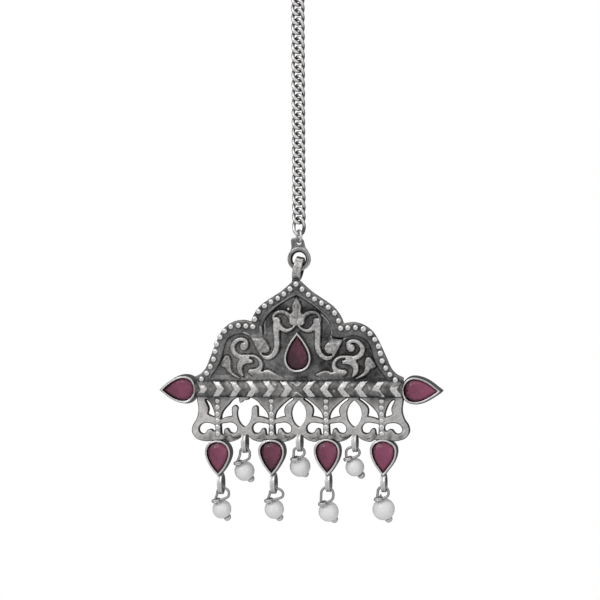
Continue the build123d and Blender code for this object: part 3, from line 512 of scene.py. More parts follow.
class NodeGroups:
    """Shader node groups that several finishes share, built once."""

    def __init__(self) -> None:
        """Starts with no groups built."""
        self.built: dict[str, Tree] = {}

    def begin(self, name: str, inputs: dict[str, float], output: str) -> Tree:
        """Makes an empty group with a place in space, some values and a result as its sockets.

        Args:
            name: The group's name.
            inputs: Defaults by the values' names.
            output: The result's name.

        Returns:
            The node tree, with group input and output nodes.
        """
        tree = bpy.data.node_groups.new(name, "ShaderNodeTree")
        tree.interface.new_socket(name="Vector", in_out="INPUT", socket_type="NodeSocketVector")
        for label, default in inputs.items():
            socket = tree.interface.new_socket(name=label, in_out="INPUT", socket_type="NodeSocketFloat")
            socket.default_value = default
        tree.interface.new_socket(name=output, in_out="OUTPUT", socket_type="NodeSocketFloat")
        tree.nodes.new("NodeGroupInput")
        tree.nodes.new("NodeGroupOutput")
        self.built[name] = tree
        return tree

    def oxide(self) -> Tree:
        """Breaks up a wear value with blotches and specks into a mask, 1 where the silver is bare."""
        if "oxide" in self.built:
            return self.built["oxide"]
        tree = self.begin("oxide", {"Wear": 0.5, "Blotch Scale": 1200.0, "Blotches": 0.3,
                                    "Speck Scale": 5000.0, "Specks": 0.3}, "Mask")
        made = Wiring(tree)
        given = tree.nodes["Group Input"].outputs
        blotch = made.noise(given["Vector"], given["Blotch Scale"], detail=5.0, roughness=0.65)
        speck = made.noise(given["Vector"], given["Speck Scale"], detail=3.0, roughness=0.6)
        one = made.math("MULTIPLY", made.math("SUBTRACT", blotch, 0.5), given["Blotches"])
        strength = made.math("MULTIPLY", given["Specks"], given["Wear"])
        two = made.math("MULTIPLY", made.math("SUBTRACT", speck, 0.5), strength)
        total = made.math("ADD", made.math("ADD", given["Wear"], one), two, clamp=True)
        made.feed(tree.nodes["Group Output"].inputs["Mask"], total)
        return tree

    def grain(self) -> Tree:
        """Fine cast grain with a few pits, as a height that is lower in the pits."""
        if "grain" in self.built:
            return self.built["grain"]
        tree = self.begin("grain", {"Scale": 3000.0, "Pit Scale": 1500.0, "Pits": 0.5}, "Height")
        made = Wiring(tree)
        given = tree.nodes["Group Input"].outputs
        fine = made.noise(given["Vector"], given["Scale"], detail=6.0, roughness=0.7)
        cells = tree.nodes.new("ShaderNodeTexVoronoi")
        made.feed(cells.inputs["Vector"], given["Vector"])
        made.feed(cells.inputs["Scale"], given["Pit Scale"])
        hollow = made.spread(cells.outputs["Distance"], (-1.0, 0.0), (0.0, 0.28))
        pits = made.math("MULTIPLY", hollow, given["Pits"])
        made.feed(tree.nodes["Group Output"].inputs["Height"], made.math("ADD", fine, pits))
        return tree


GROUPS = NodeGroups()


@dataclass(frozen=True)
class Finish:
    """A surface finish, which becomes a material once."""

    name: str

    def material(self) -> bpy.types.Material:
        """The finish as a material, which all its pieces share."""
        if self.name in bpy.data.materials:
            return bpy.data.materials[self.name]
        material = bpy.data.materials.new(self.name)
        material.use_nodes = True
        nodes = material.node_tree.nodes
        place = nodes.new("ShaderNodeTexCoord").outputs["Object"]
        self.dress(Wiring(material.node_tree), nodes["Principled BSDF"], place)
        return material

    def dress(self, wire: Wiring, shader: Node, place: Socket) -> None:
        """Wires the finish's patterns to the shader."""
        raise NotImplementedError


@dataclass(frozen=True)
class SilverFinish(Finish):
    """Oxidised silver: bright where it is worn, dark where the oxide stays, lighter where the mesh's values
    paint light and darker where they paint shade, and with rim set, darkened towards its outline by a painted
    dark reflection.
    """

    bright: float = 0.62
    dark: float = 0.035
    warmth: float = 0.012
    gloss: float = 0.3
    dull: float = 0.5
    blotches: float = 0.35
    specks: float = 0.25
    speck_scale: float = 3400.0
    # rim and the power after it: a painted dark reflection laid over the silver towards its outline, as seen
    # from the camera.
    rim: float = 0.0
    rim_shade_power: float = 2.0
    grain_depth: float = 0.25
    grain_scale: float = 3200.0
    grain_step: float = 0.00006
    pits: float = 0.4

    def dress(self, wire: Wiring, shader: Node, place: Socket) -> None:
        """Lays bare silver over oxide by the mesh's wear_and_shading values, darkens it towards the outline
        with a painted dark reflection when rim is set, and adds a cast grain.

        Args:
            wire: The material's wiring.
            shader: Its shader.
            place: The object's own coordinates.
        """
        mask = wire.group(GROUPS.oxide(), Vector=place, Wear=wire.attribute(WEAR_AND_SHADING), Blotches=self.blotches,
                          Specks=self.specks, Speck_Scale=self.speck_scale).outputs["Mask"]
        # Painted dark reflection: the bare silver is darkened towards the outline as seen from the camera.
        if self.rim:
            away = wire.math("MULTIPLY", wire.grazing(self.rim_shade_power), self.rim)
            mask = wire.math("SUBTRACT", mask, away, clamp=True)
        silver = (self.bright + self.warmth, self.bright, self.bright - self.warmth, 1.0)
        oxide = (self.dark, self.dark * 0.98, self.dark, 1.0)
        wire.feed(shader.inputs["Base Color"], wire.blend(mask, oxide, silver))
        wire.feed(shader.inputs["Roughness"], wire.spread(mask, (self.dull, self.gloss)))
        shader.inputs["Metallic"].default_value = 1.0
        grain = wire.group(GROUPS.grain(), Vector=place, Scale=self.grain_scale, Pits=self.pits)
        wire.bump(shader, grain.outputs["Height"], self.grain_depth, self.grain_step)


@dataclass(frozen=True)
class StoneFinish(Finish):
    """Dark raspberry glass, foiled behind, with soft cloudy streaks and painted light stored on each facet.
    """

    name: str = "raspberry_glass"
    deep: Row = (0.035, 0.01, 0.016, 1.0)
    light: Row = (0.235, 0.055, 0.11, 1.0)
    cloud_scale: float = 420.0
    cloudiness: float = 0.3
    gloss: float = 0.3
    refraction: float = 1.4

    def dress(self, wire: Wiring, shader: Node, place: Socket) -> None:
        """Colours the glass by each facet's painted light and the clouds.

        Args:
            wire: The material's wiring.
            shader: Its shader.
            place: The object's own coordinates.
        """
        cloud = wire.noise(place, self.cloud_scale, 3.0, 0.5)
        cloud = wire.spread(cloud, (-self.cloudiness, self.cloudiness))
        # Each facet's value is painted light in the glass, with a painted shadow round the girdle.
        mask = wire.math("ADD", wire.attribute(FACET_LIGHT), cloud, clamp=True)
        wire.feed(shader.inputs["Base Color"], wire.blend(mask, self.deep, self.light))
        shader.inputs["Roughness"].default_value = self.gloss
        shader.inputs["IOR"].default_value = self.refraction


@dataclass(frozen=True)
class PearlFinish(Finish):
    """A milky white bead with a soft skin and a painted grey shade towards its outline."""

    name: str = "milky_pearl"
    milk: Row = (0.66, 0.66, 0.66, 1.0)
    cream: Row = (0.74, 0.74, 0.735, 1.0)
    # outline and the power after it: the painted grey shade towards the bead's outline, as seen from the
    # camera.
    outline: Row = (0.3, 0.3, 0.31, 1.0)
    outline_shade_power: float = 4.0
    cloud_scale: float = 700.0
    gloss: Pair = (0.3, 0.45)
    skin: float = 0.3
    skin_gloss: float = 0.15
    ripple_scale: float = 1100.0
    ripple_depth: float = 0.05
    ripple_step: float = 0.0001

    def dress(self, wire: Wiring, shader: Node, place: Socket) -> None:
        """Clouds the milk, paints a grey shade on it towards the outline and coats it.

        Args:
            wire: The material's wiring.
            shader: Its shader.
            place: The object's own coordinates.
        """
        cloud = wire.noise(place, self.cloud_scale, 4.0, 0.55)
        milk = wire.blend(cloud, self.milk, self.cream)
        # Painted shade: the milk turns grey towards the outline as seen from the camera.
        colour = wire.blend(wire.grazing(self.outline_shade_power), milk, self.outline)
        wire.feed(shader.inputs["Base Color"], colour)
        wire.feed(shader.inputs["Roughness"], wire.spread(cloud, self.gloss))
        shader.inputs["Coat Weight"].default_value = self.skin
        shader.inputs["Coat Roughness"].default_value = self.skin_gloss
        ripple = wire.noise(place, self.ripple_scale, 2.0, 0.5)
        wire.bump(shader, ripple, self.ripple_depth, self.ripple_step)


@dataclass(frozen=True)
class FloorFinish(Finish):
    """A pale matt floor."""

    name: str = "pale_floor"
    grey: Row = (0.84, 0.84, 0.85, 1.0)
    white: Row = (0.9, 0.9, 0.9, 1.0)
    cloud_scale: float = 12.0
    gloss: float = 0.8

    def dress(self, wire: Wiring, shader: Node, place: Socket) -> None:
        """Clouds the floor a little.

        Args:
            wire: The material's wiring.
            shader: Its shader.
            place: The object's own coordinates.
        """
        tone = wire.noise(place, self.cloud_scale, 3.0, 0.5)
        wire.feed(shader.inputs["Base Color"], wire.blend(tone, self.grey, self.white))
        shader.inputs["Roughness"].default_value = self.gloss


PLATE_SILVER = SilverFinish("relief_silver", gloss=0.42, blotches=0.3, specks=1.8, grain_depth=0.12)
SHEET_SILVER = SilverFinish("pierced_silver", gloss=0.45, blotches=0.3, specks=0.9, grain_depth=0.15)
BEAD_SILVER = SilverFinish("bead_silver", bright=0.68, gloss=0.42, blotches=0.2, specks=0.6, grain_depth=0.1)
BEZEL_SILVER = SilverFinish("bezel_silver", bright=0.66, gloss=0.38, specks=0.8, rim=0.2, grain_depth=0.15)
WIRE_SILVER = SilverFinish("wire_silver", gloss=0.36, blotches=0.3, specks=0.4, rim=0.4, grain_depth=0.12)
RING_SILVER = SilverFinish("ring_silver", gloss=0.42, blotches=0.3, specks=0.8, rim=0.4, grain_depth=0.12)
BAIL_SILVER = SilverFinish("bail_silver", bright=0.6, gloss=0.42, blotches=0.7, specks=2.2,
                           speck_scale=2400.0)
DROP_SILVER = SilverFinish("drop_silver", bright=0.66, gloss=0.4, specks=0.5, rim=0.5, grain_depth=0.1)
CHAIN_SILVER = SilverFinish("chain_silver", bright=0.74, gloss=0.38, blotches=0.15, rim=0.5, grain_depth=0.06)


# --- making meshes ---
END_ROUNDING = [(0.0, 0.12), (0.12, 0.6), (0.45, 0.9), (1.0, 1.0)]  # in from a wire's end, width, in radii
END_CLEAR = 1.4  # how many radii of its end a wire's own points stay clear of


def clamp(value: float) -> float:
    """A value held between 0 and 1."""
    return min(1.0, max(0.0, value))


def turns(count: int) -> list[float]:
    """The angles of equal steps round a full turn."""
    return [2 * math.pi * step / count for step in range(count)]


def wear_and_shading_layer(bm: Mesh) -> bmesh.types.BMLayerItem:
    """The mesh's wear values, one a vertex."""
    return bm.verts.layers.float.get(WEAR_AND_SHADING) or bm.verts.layers.float.new(WEAR_AND_SHADING)


def settle(bm: Mesh, place: Matrix) -> Mesh:
    """Turns a mesh's faces outward and moves it to its place.

    Args:
        bm: The mesh.
        place: Its place in the row frame.

    Returns:
        The same mesh.
    """
    bmesh.ops.recalc_face_normals(bm, faces=bm.faces)
    bmesh.ops.transform(bm, matrix=place, verts=bm.verts)
    return bm


def add_object(name: str, data: bpy.types.ID) -> bpy.types.Object:
    """Puts a new object in the scene.

    Args:
        name: The object's name.
        data: Its mesh, light or camera.

    Returns:
        The object.
    """
    made = bpy.data.objects.new(name, data)
    bpy.context.scene.collection.objects.link(made)
    return made


def grow(bm: Mesh, rings: Sequence[Sequence[Vector]], wear_and_shading_values: float | Sequence[float],
         closed: bool = False) -> None:
    """Draws a ring of edges and extrudes it through all the rings in turn.

    Args:
        bm: The mesh to add to.
        rings: Rings with equal numbers of points.
        wear_and_shading_values: The wear, for all or for each ring.
        closed: Whether the last ring joins the first; otherwise both ends are filled.
    """
    layer = wear_and_shading_layer(bm)
    rings = list(rings)
    values = [wear_and_shading_values] * len(rings) if isinstance(wear_and_shading_values, float) else list(wear_and_shading_values)
    if closed:
        rings.append(rings[0])
        values.append(values[0])
    verts = [bm.verts.new(point) for point in rings[0]]
    edges = [bm.edges.new((verts[i - 1], verts[i])) for i in range(len(verts))]
    start = list(verts)
    for vert in verts:
        vert[layer] = values[0]
    if not closed:
        bmesh.ops.contextual_create(bm, geom=edges)
    for ring, value in zip(rings[1:], values[1:]):
        made = bmesh.ops.extrude_edge_only(bm, edges=edges)["geom"]
        new = {item for item in made if isinstance(item, bmesh.types.BMVert)}
        moved = [next(e.other_vert(v) for e in v.link_edges if e.other_vert(v) in new) for v in verts]
        for vert, point in zip(moved, ring):
            vert.co = point
            vert[layer] = value
        verts = moved
        edges = [item for item in made if isinstance(item, bmesh.types.BMEdge)
                 and item.verts[0] in new and item.verts[1] in new]
    if closed:
        bmesh.ops.remove_doubles(bm, verts=start + verts, dist=1e-5)
    else:
        bmesh.ops.contextual_create(bm, geom=edges)


def tube_rings(path: Sequence[Vector], radius: float | Sequence[float], sides: int,
               closed: bool = False) -> list[list[Vector]]:
    """Rings of points for a wire along a path.

    Args:
        path: The wire's middle line.
        radius: The wire's radius, or one for each point of the path.
        sides: Points round the wire.
        closed: Whether the path is a loop.

    Returns:
        A ring for each point of the path.
    """
    count = len(path)
    radii = [radius] * count if isinstance(radius, float) else list(radius)
    middle = sum(path, Vector()) / count
    side = None
    rings = []
    for i, point in enumerate(path):
        after = path[(i + 1) % count] if closed or i + 1 < count else point
        before = path[i - 1] if closed or i else point
        along = (after - before).normalized()
        if closed:
            side = point - middle
        elif side is None:
            side = along.orthogonal()
        side = (side - along * side.dot(along)).normalized()
        other = along.cross(side)
        ring = []
        for k in range(sides):
            angle = 2 * math.pi * (k + 0.5) / sides
            ring.append(point + (side * math.cos(angle) + other * math.sin(angle)) * radii[i])
        rings.append(ring)
    return rings


def wire_line(points: Sequence[Sequence[float]], steps: int = 5) -> list[Vector]:
    """A smooth open path through points."""
    return [Vector(row) for row in smooth_line(points, steps=steps)]


def add_wire(bm: Mesh, path: list[Vector], radius: float, sides: int, wear_and_shading: float) -> None:
    """Adds an open wire with rounded ends.

    Args:
        bm: The mesh to add to.
        path: The wire's middle line.
        radius: Its radius.
        sides: Points round it.
        wear_and_shading: Its wear.
    """
    start = (path[1] - path[0]).normalized()
    end = (path[-2] - path[-1]).normalized()
    clear = END_CLEAR * radius
    rows = [(path[0] + start * (radius * inward), radius * width) for inward, width in END_ROUNDING]
    rows += [(p, radius) for p in path if (p - path[0]).length > clear and (p - path[-1]).length > clear]
    rows += [(path[-1] + end * (radius * inward), radius * width) for inward, width in END_ROUNDING[::-1]]
    grow(bm, tube_rings([point for point, _ in rows], [width for _, width in rows], sides), wear_and_shading)


def shade_by_shape(bm: Mesh, gain: float) -> None:
    """Brightens edges that stand out and darkens creases, in the wear values.

    Args:
        bm: The mesh.
        gain: How strongly the shape counts.
    """
    layer = wear_and_shading_layer(bm)
    bm.normal_update()
    bm.verts.index_update()
    bend = []
    for vert in bm.verts:
        links = vert.link_edges
        if not links:
            bend.append(0.0)
            continue
        mean = sum((e.other_vert(vert).co for e in links), Vector()) / len(links)
        size = sum(e.calc_length() for e in links) / len(links)
        bend.append((vert.co - mean).dot(vert.normal) / (size + 1e-9))
    for vert in bm.verts:
        around = [bend[e.other_vert(vert).index] for e in vert.link_edges]
        smooth = 0.5 * bend[vert.index] + 0.5 * sum(around) / max(1, len(around))
        vert[layer] = clamp(vert[layer] + gain * smooth)


@dataclass(frozen=True)
class Role:
    """What a piece is in the frame."""

    body: Body
    nodes: tuple[str, ...]
    slot: Slot


CROWN_ROLE = Role(Body.PENDANT, ("crown",), Slot.CAST_SILVER)


def finish_piece(bm: Mesh, name: str, finish: Finish, role: Role, sharp: float = 42.0) -> None:
    """Turns a mesh in millimetres into a piece of the scene.

    Args:
        bm: The mesh, in the row frame.
        name: The piece's name.
        finish: Its finish.
        role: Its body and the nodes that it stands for.
        sharp: The angle in degrees past which an edge is shaded sharp.
    """
    bmesh.ops.scale(bm, vec=(MM, MM, MM), verts=bm.verts)
    mesh = bpy.data.meshes.new(name)
    bm.to_mesh(mesh)
    bm.free()
    mesh.materials.append(finish.material())
    mesh.shade_smooth()
    mesh.set_sharp_from_angle(angle=math.radians(sharp))
    piece = add_object(name, mesh)
    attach(piece, role.body.value)
    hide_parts(*role.nodes)
    LOG.info("%s: %d faces on %s", name, len(mesh.polygons), role.body.value)


# --- sculpted sheets ---
@dataclass
class SculptedSheet:
    """A sheet of cast silver, sculpted on a fine grid and cut to its outline."""

    name: str = "sheet"
    low: Pair = (-1.0, -1.0)
    high: Pair = (1.0, 1.0)
    cell: float = 0.1
    back: float = -0.4
    closing: Back = Back.FLAT
    by_hand: bool = True
    back_tone: float = 0.42
    wall_wear: float = 0.08
    finish: SilverFinish = PLATE_SILVER
    role: Role = CROWN_ROLE

    def outline(self, x: Field, z: Field) -> Field:
        """How far points lie inside the sheet; negative outside."""
        raise NotImplementedError

    def sculpt(self, x: Field, z: Field, edge: Field) -> tuple[Field, Field]:
        """Front heights and wear of points."""
        raise NotImplementedError

    def build(self, place: Matrix) -> Mesh:
        """Makes the sheet.

        Args:
            place: The crown's place.

        Returns:
            A closed mesh in the row frame.
        """
        bm = bmesh.new()
        layer = wear_and_shading_layer(bm)
        span = [high - low for low, high in zip(self.low, self.high)]
        across, up = [round(size / self.cell) for size in span]
        bmesh.ops.create_grid(bm, x_segments=across, y_segments=up, size=0.5)
        flat = np.array([vert.co[:2] for vert in bm.verts])
        flat = (flat - flat.min(axis=0)) / (flat.max(axis=0) - flat.min(axis=0)) * span + self.low
        for vert, (x, z) in zip(bm.verts, flat):
            vert.co = (x, 0, z)
        self.cut(bm, self.outline(flat[:, 0], flat[:, 1]))
        points = np.array([(v.co.x, v.co.z) for v in bm.verts])
        edge = self.outline(points[:, 0], points[:, 1])
        rim = np.array([v.is_boundary for v in bm.verts])
        points[rim], edge[rim] = self.onto_edge(points[rim]), 0.0
        heights, wear_and_shading = self.sculpt(points[:, 0], points[:, 1], edge)
        for vert, (x, z), height, value in zip(bm.verts, points, heights, wear_and_shading):
            x, z = hand(x, z) if self.by_hand else (x, z)
            vert.co = (x, -height, z)
            vert[layer] = clamp(value)
        self.close(bm)
        return settle(bm, place)

    def cut(self, bm: Mesh, inside: Field) -> None:
        """Deletes the grid's faces outside the outline, and any flap that hangs by one edge.

        Args:
            bm: The grid.
            inside: How far its vertices lie inside the outline.
        """
        bm.verts.index_update()
        outside = [f for f in bm.faces if sum(inside[v.index] for v in f.verts) < 0]
        bmesh.ops.delete(bm, geom=outside, context="FACES")
        flaps = [f for f in bm.faces if sum(e.is_boundary for e in f.edges) > 2]
        while flaps:
            bmesh.ops.delete(bm, geom=flaps, context="FACES")
            flaps = [f for f in bm.faces if sum(e.is_boundary for e in f.edges) > 2]

    def onto_edge(self, points: Field) -> Field:
        """Moves points onto the outline.

        Args:
            points: Rows of x and z near it.

        Returns:
            Rows of x and z on it.
        """
        step, rounds, least_slope = 0.02, 3, 0.3
        for _ in range(rounds):
            x, z = points[:, 0], points[:, 1]
            far = self.outline(x, z)
            slope = np.stack([self.outline(x + step, z) - self.outline(x - step, z),
                              self.outline(x, z + step) - self.outline(x, z - step)], axis=1) / (2 * step)
            size = np.maximum((slope ** 2).sum(axis=1), least_slope)
            points = points - slope * np.clip(far / size, -self.cell, self.cell)[:, None]
        return points

    def close(self, bm: Mesh) -> None:
        """Lifts the face off a copy of itself, which becomes the back, with walls between them.

        Args:
            bm: The cut and sculpted face.
        """
        layer = wear_and_shading_layer(bm)
        rim = {vert for vert in bm.verts if vert.is_boundary}
        made = bmesh.ops.extrude_face_region(bm, geom=bm.faces[:], use_keep_orig=True)["geom"]
        face = {item for item in made if isinstance(item, bmesh.types.BMVert)}
        for vert in bm.verts:
            if vert in face:
                continue
            if self.closing is Back.MIRRORED:
                vert.co.y = -vert.co.y
            else:
                vert.co.y = -self.back
                vert[layer] = self.wall_wear if vert in rim else self.back_tone

    def dress(self, place: Matrix) -> None:
        """Builds the sheet at its place in the row frame and dresses it."""
        finish_piece(self.build(place), self.name, self.finish, self.role, sharp=60)


@dataclass(frozen=True)
class PlateWear:
    """How much each feature adds to the plate's wear."""

    plain: float = 0.17
    across: float = -0.005
    brow: float = 0.16
    ridge: float = 0.42
    edge: float = 0.12
    moat: float = -0.13
    streaks: float = 0.05
    foot: float = -0.14
    bead_ring: float = -0.12
    outline: float = 0.24
    mottle: float = 0.17
    hatch: float = -0.3
    least_raised: float = 0.1
    low_leaf: float = 0.35
    cloud: float = 0.07
    speckle: float = 0.05


@dataclass
class CrownPlate(SculptedSheet):
    """The crown's plate: a border band round a sunk ground with raised scrollwork."""

    name: str = "crown_plate"
    low: Pair = (-18.7, 0.7)
    high: Pair = (18.7, 19.1)
    ground: float = 0.38
    band: float = 0.9
    relief: float = 1.05
    spread: float = 0.04
    wall_wear: float = 0.3
    brow_rise: float = 0.04
    ridge_rise: float = 0.08
    edge_roll: float = 0.3
    top_roll: float = 0.16
    moat_depth: float = 0.05
    hatch_depth: float = 0.06
    streak_pitch: float = 0.55
    gain: PlateWear = PlateWear()

    def outline(self, x: Field, z: Field) -> Field:
        """How far points lie inside the plate."""
        right = np.vstack([smooth_line(MIDDLE_LOBE)[:-1], smooth_line(OUTER_LOBE), [(18.6, 0.75)]])
        return inside_distance(np.abs(x), z, both_sides(right))

    def raised_work(self, x: Field, z: Field) -> tuple[Field, Field, Field]:
        """The scrolls, leaves, hills and palmette.

        Args:
            x: The points' x.
            z: The points' z.

        Returns:
            How far points lie inside them, their wear there and how far they stand out there.
        """
        side, full = np.abs(x), np.ones(x.shape)
        fold = hump(side, 0.3, 0.16) * ramp(z, 11.9, 12.4) * (1 - ramp(z, 14.9, 15.6))
        heart = hump(side, 0.0, 0.18) * (1 - ramp(z, 11.9, 12.3))
        spear = RELIEF_WEAR["palmette"] + 0.2 * (1 - ramp(z, 12.2, 13.0)) - 0.24 * fold - 0.3 * heart
        flame = RELIEF_WEAR["flame leaf"] + 0.003 * x - 0.26 * ramp(side, 12.9, 13.7)
        kinds = [
            (inside_distance(side, z, both_sides(smooth_line(PALMETTE))), spear, full),
            (inside_distance(side, z, smooth_line(FLAME_LEAF, closed=True)), flame, full)]
        for name, rows in SCROLLS.items():
            kinds.append((stroke_distance(side, z, rows), self.scroll_wear(name, x), full))
        for name, loop in ONE_SIDED.items():
            inside = inside_distance(x, z, smooth_line(loop, closed=True))
            if name in LEAF_FADE:
                kinds.append((inside, RELIEF_WEAR[name] * full, 1 - ramp(z, *LEAF_FADE[name])))
            else:
                brow = hump(inside, 0.16, 0.2) * ramp(z, 2.3, 2.8)
                inside = inside + 0.4 * (1 - ramp(z, 1.5, 2.3))
                kinds.append((inside, RELIEF_WEAR[name] + 0.3 * brow, ramp(z, 1.5, 3.1)))
        best = np.array([kind[0] for kind in kinds]).argmax(axis=0)[None]
        return tuple(np.take_along_axis(np.array(layer), best, 0)[0] for layer in zip(*kinds))

    def scroll_wear(self, name: str, x: Field) -> Field:
        """The wear along a scroll's top.

        Args:
            name: The scroll's name.
            x: The points' x.

        Returns:
            A wear value for each point.
        """
        if name == "arch":
            return RELIEF_WEAR["arch"] - 0.02 * x
        return RELIEF_WEAR["scroll"] + 0.004 * x - 0.016 * x * (1 - ramp(np.abs(x), 4.5, 5.5))

    def beads(self, x: Field, z: Field) -> Field:
        """Measures the way to the border's beads.

        Args:
            x: The points' x.
            z: The points' z.

        Returns:
            The distance to the nearest bead's middle.
        """
        best = np.hypot(x, z - 18.45)
        for bx, bz in BORDER_GRANULES:
            best = np.minimum(best, np.hypot(np.abs(x) - bx, z - bz))
        return best

    def hatching(self, x: Field, z: Field) -> Field:
        """Engraves slanting lines on the left hill.

        Args:
            x: The points' x.
            z: The points' z.

        Returns:
            Values from 0 between the lines to 1 in a line.
        """
        best = np.zeros(x.shape)
        for foot in HATCHES:
            best = np.maximum(best, hump(x - foot - 0.9 * (z - 1.8), 0.0, 0.13))
        return best * ramp(z, 1.7, 1.9) * (1 - ramp(z, 2.7, 3.2))

    def field_tones(self, x: Field, z: Field, sunk: Field) -> Field:
        """Lays the ground darker in some fields than in others, and the border band lighter at its left end.

        Args:
            x: The points' x.
            z: The points' z.
            sunk: 1 on the ground and 0 on the border band.

        Returns:
            A change of wear for each point.
        """
        side = np.abs(x)
        upper = ramp(z, 9.5, 11.5) * (1 - ramp(z, 13.8, 15.0))
        heart = (1 - ramp(side, 3.2, 3.8)) * ramp(z, 6.0, 7.5) * (1 - ramp(z, 9.5, 11.0))
        low_right = ramp(x, 3.0, 4.5) * (1 - ramp(z, 9.0, 10.5))
        field = 0.09 * ramp(z, 14.3, 15.5) - (0.075 - 0.008 * x) * upper
        field = field + 0.024 * x * heart - 0.065 * low_right
        return field * sunk + 0.12 * (1 - ramp(x, -14.5, -12.5)) * (1 - sunk)

    def sculpt(self, x: Field, z: Field, edge: Field) -> tuple[Field, Field]:
        """Front heights and wear of the plate's points.

        Args:
            x: The points' x.
            z: The points' z.
            edge: How far in from the edge they lie.

        Returns:
            Heights and wear values.
        """
        pocket = inside_distance(np.abs(x), z, both_sides(smooth_line(POCKET_EDGE)))
        raised, shade, stands = self.raised_work(x, z)
        raised = raised + self.spread
        rise = ramp(raised, -0.08, 0.04 + 0.3 * (1 - stands))
        sunk = ramp(pocket, -0.06, 0.14 + 1.3 * rise * (1 - stands) * ramp(z, 6.0, 7.0))
        line = np.full(x.shape, -FAR)
        for rows in BAND_RIDGES:
            line = np.maximum(line, stroke_distance(x, z, rows))
        ridge = ramp(line, -0.1, 0.05) * (1 - rise)
        brow = hump(pocket, -0.16, 0.13) * ramp(z, 10.5, 13.0)
        foot = 1 - ramp(z, 1.6, 2.5)
        base = self.band + (self.ground - self.band) * sunk * (1 - 0.7 * foot)
        base += self.brow_rise * brow + self.ridge_rise * ridge
        base -= self.edge_roll * (1 - ramp(edge, 0.0, 0.45))
        moat = hump(raised, -0.12, 0.1) * (0.3 + 0.7 * sunk) * stands
        base -= self.moat_depth * moat
        hatch = self.hatching(x, z) * rise
        top = self.relief - self.top_roll * (1 - ramp(raised, 0.02, 0.25))
        height = base + (np.maximum(top, base) - base) * rise * stands - self.hatch_depth * hatch
        streaks = np.sin(edge * 2 * math.pi / self.streak_pitch + 2 * lumps(x, z, 2.5, 3))
        streaks *= ramp(z, 9.0, 13.0) * (1 - rise)
        height += 0.01 * streaks + 0.02 * lumps(x, z, 0.5, 1) + 0.03 * lumps(x, z, 1.9, 2)
        gain = self.gain
        wear_and_shading = gain.plain + gain.across * np.clip(x, -9, 9) * sunk + gain.brow * brow + gain.ridge * ridge
        wear_and_shading += gain.edge * hump(edge, 0.2, 0.2) + gain.moat * moat + gain.streaks * streaks
        ring = hump(self.beads(x, z), 0.6, 0.16) * (1 - sunk)
        wear_and_shading += gain.foot * (1 - ramp(z, 1.6, 2.2)) + gain.bead_ring * ring
        wear_and_shading += self.field_tones(x, z, sunk)
        bright = shade + gain.outline * hump(raised, 0.1, 0.12) * stands
        bright += gain.mottle * lumps(x, z, 0.35, 6) + gain.hatch * hatch
        share = gain.least_raised + (1 - gain.least_raised) * stands
        share += gain.low_leaf * (1 - stands) * ramp(z, 6.0, 7.0)
        wear_and_shading += (bright - wear_and_shading) * rise * share
        wear_and_shading += gain.cloud * lumps(x, z, 1.6, 4) + gain.speckle * lumps(x, z, 0.35, 5)
        return height, wear_and_shading


@dataclass(frozen=True)
class BarWear:
    """How much each feature adds to the bar's wear."""

    plain: float = 0.18
    groove: float = -0.16
    stain: float = 0.38
    edges: float = -0.12
    cloud: float = 0.12
    patch: float = 0.12
    chevron: float = 0.92
    upper_arm: float = -0.06
    mottle: float = 0.22


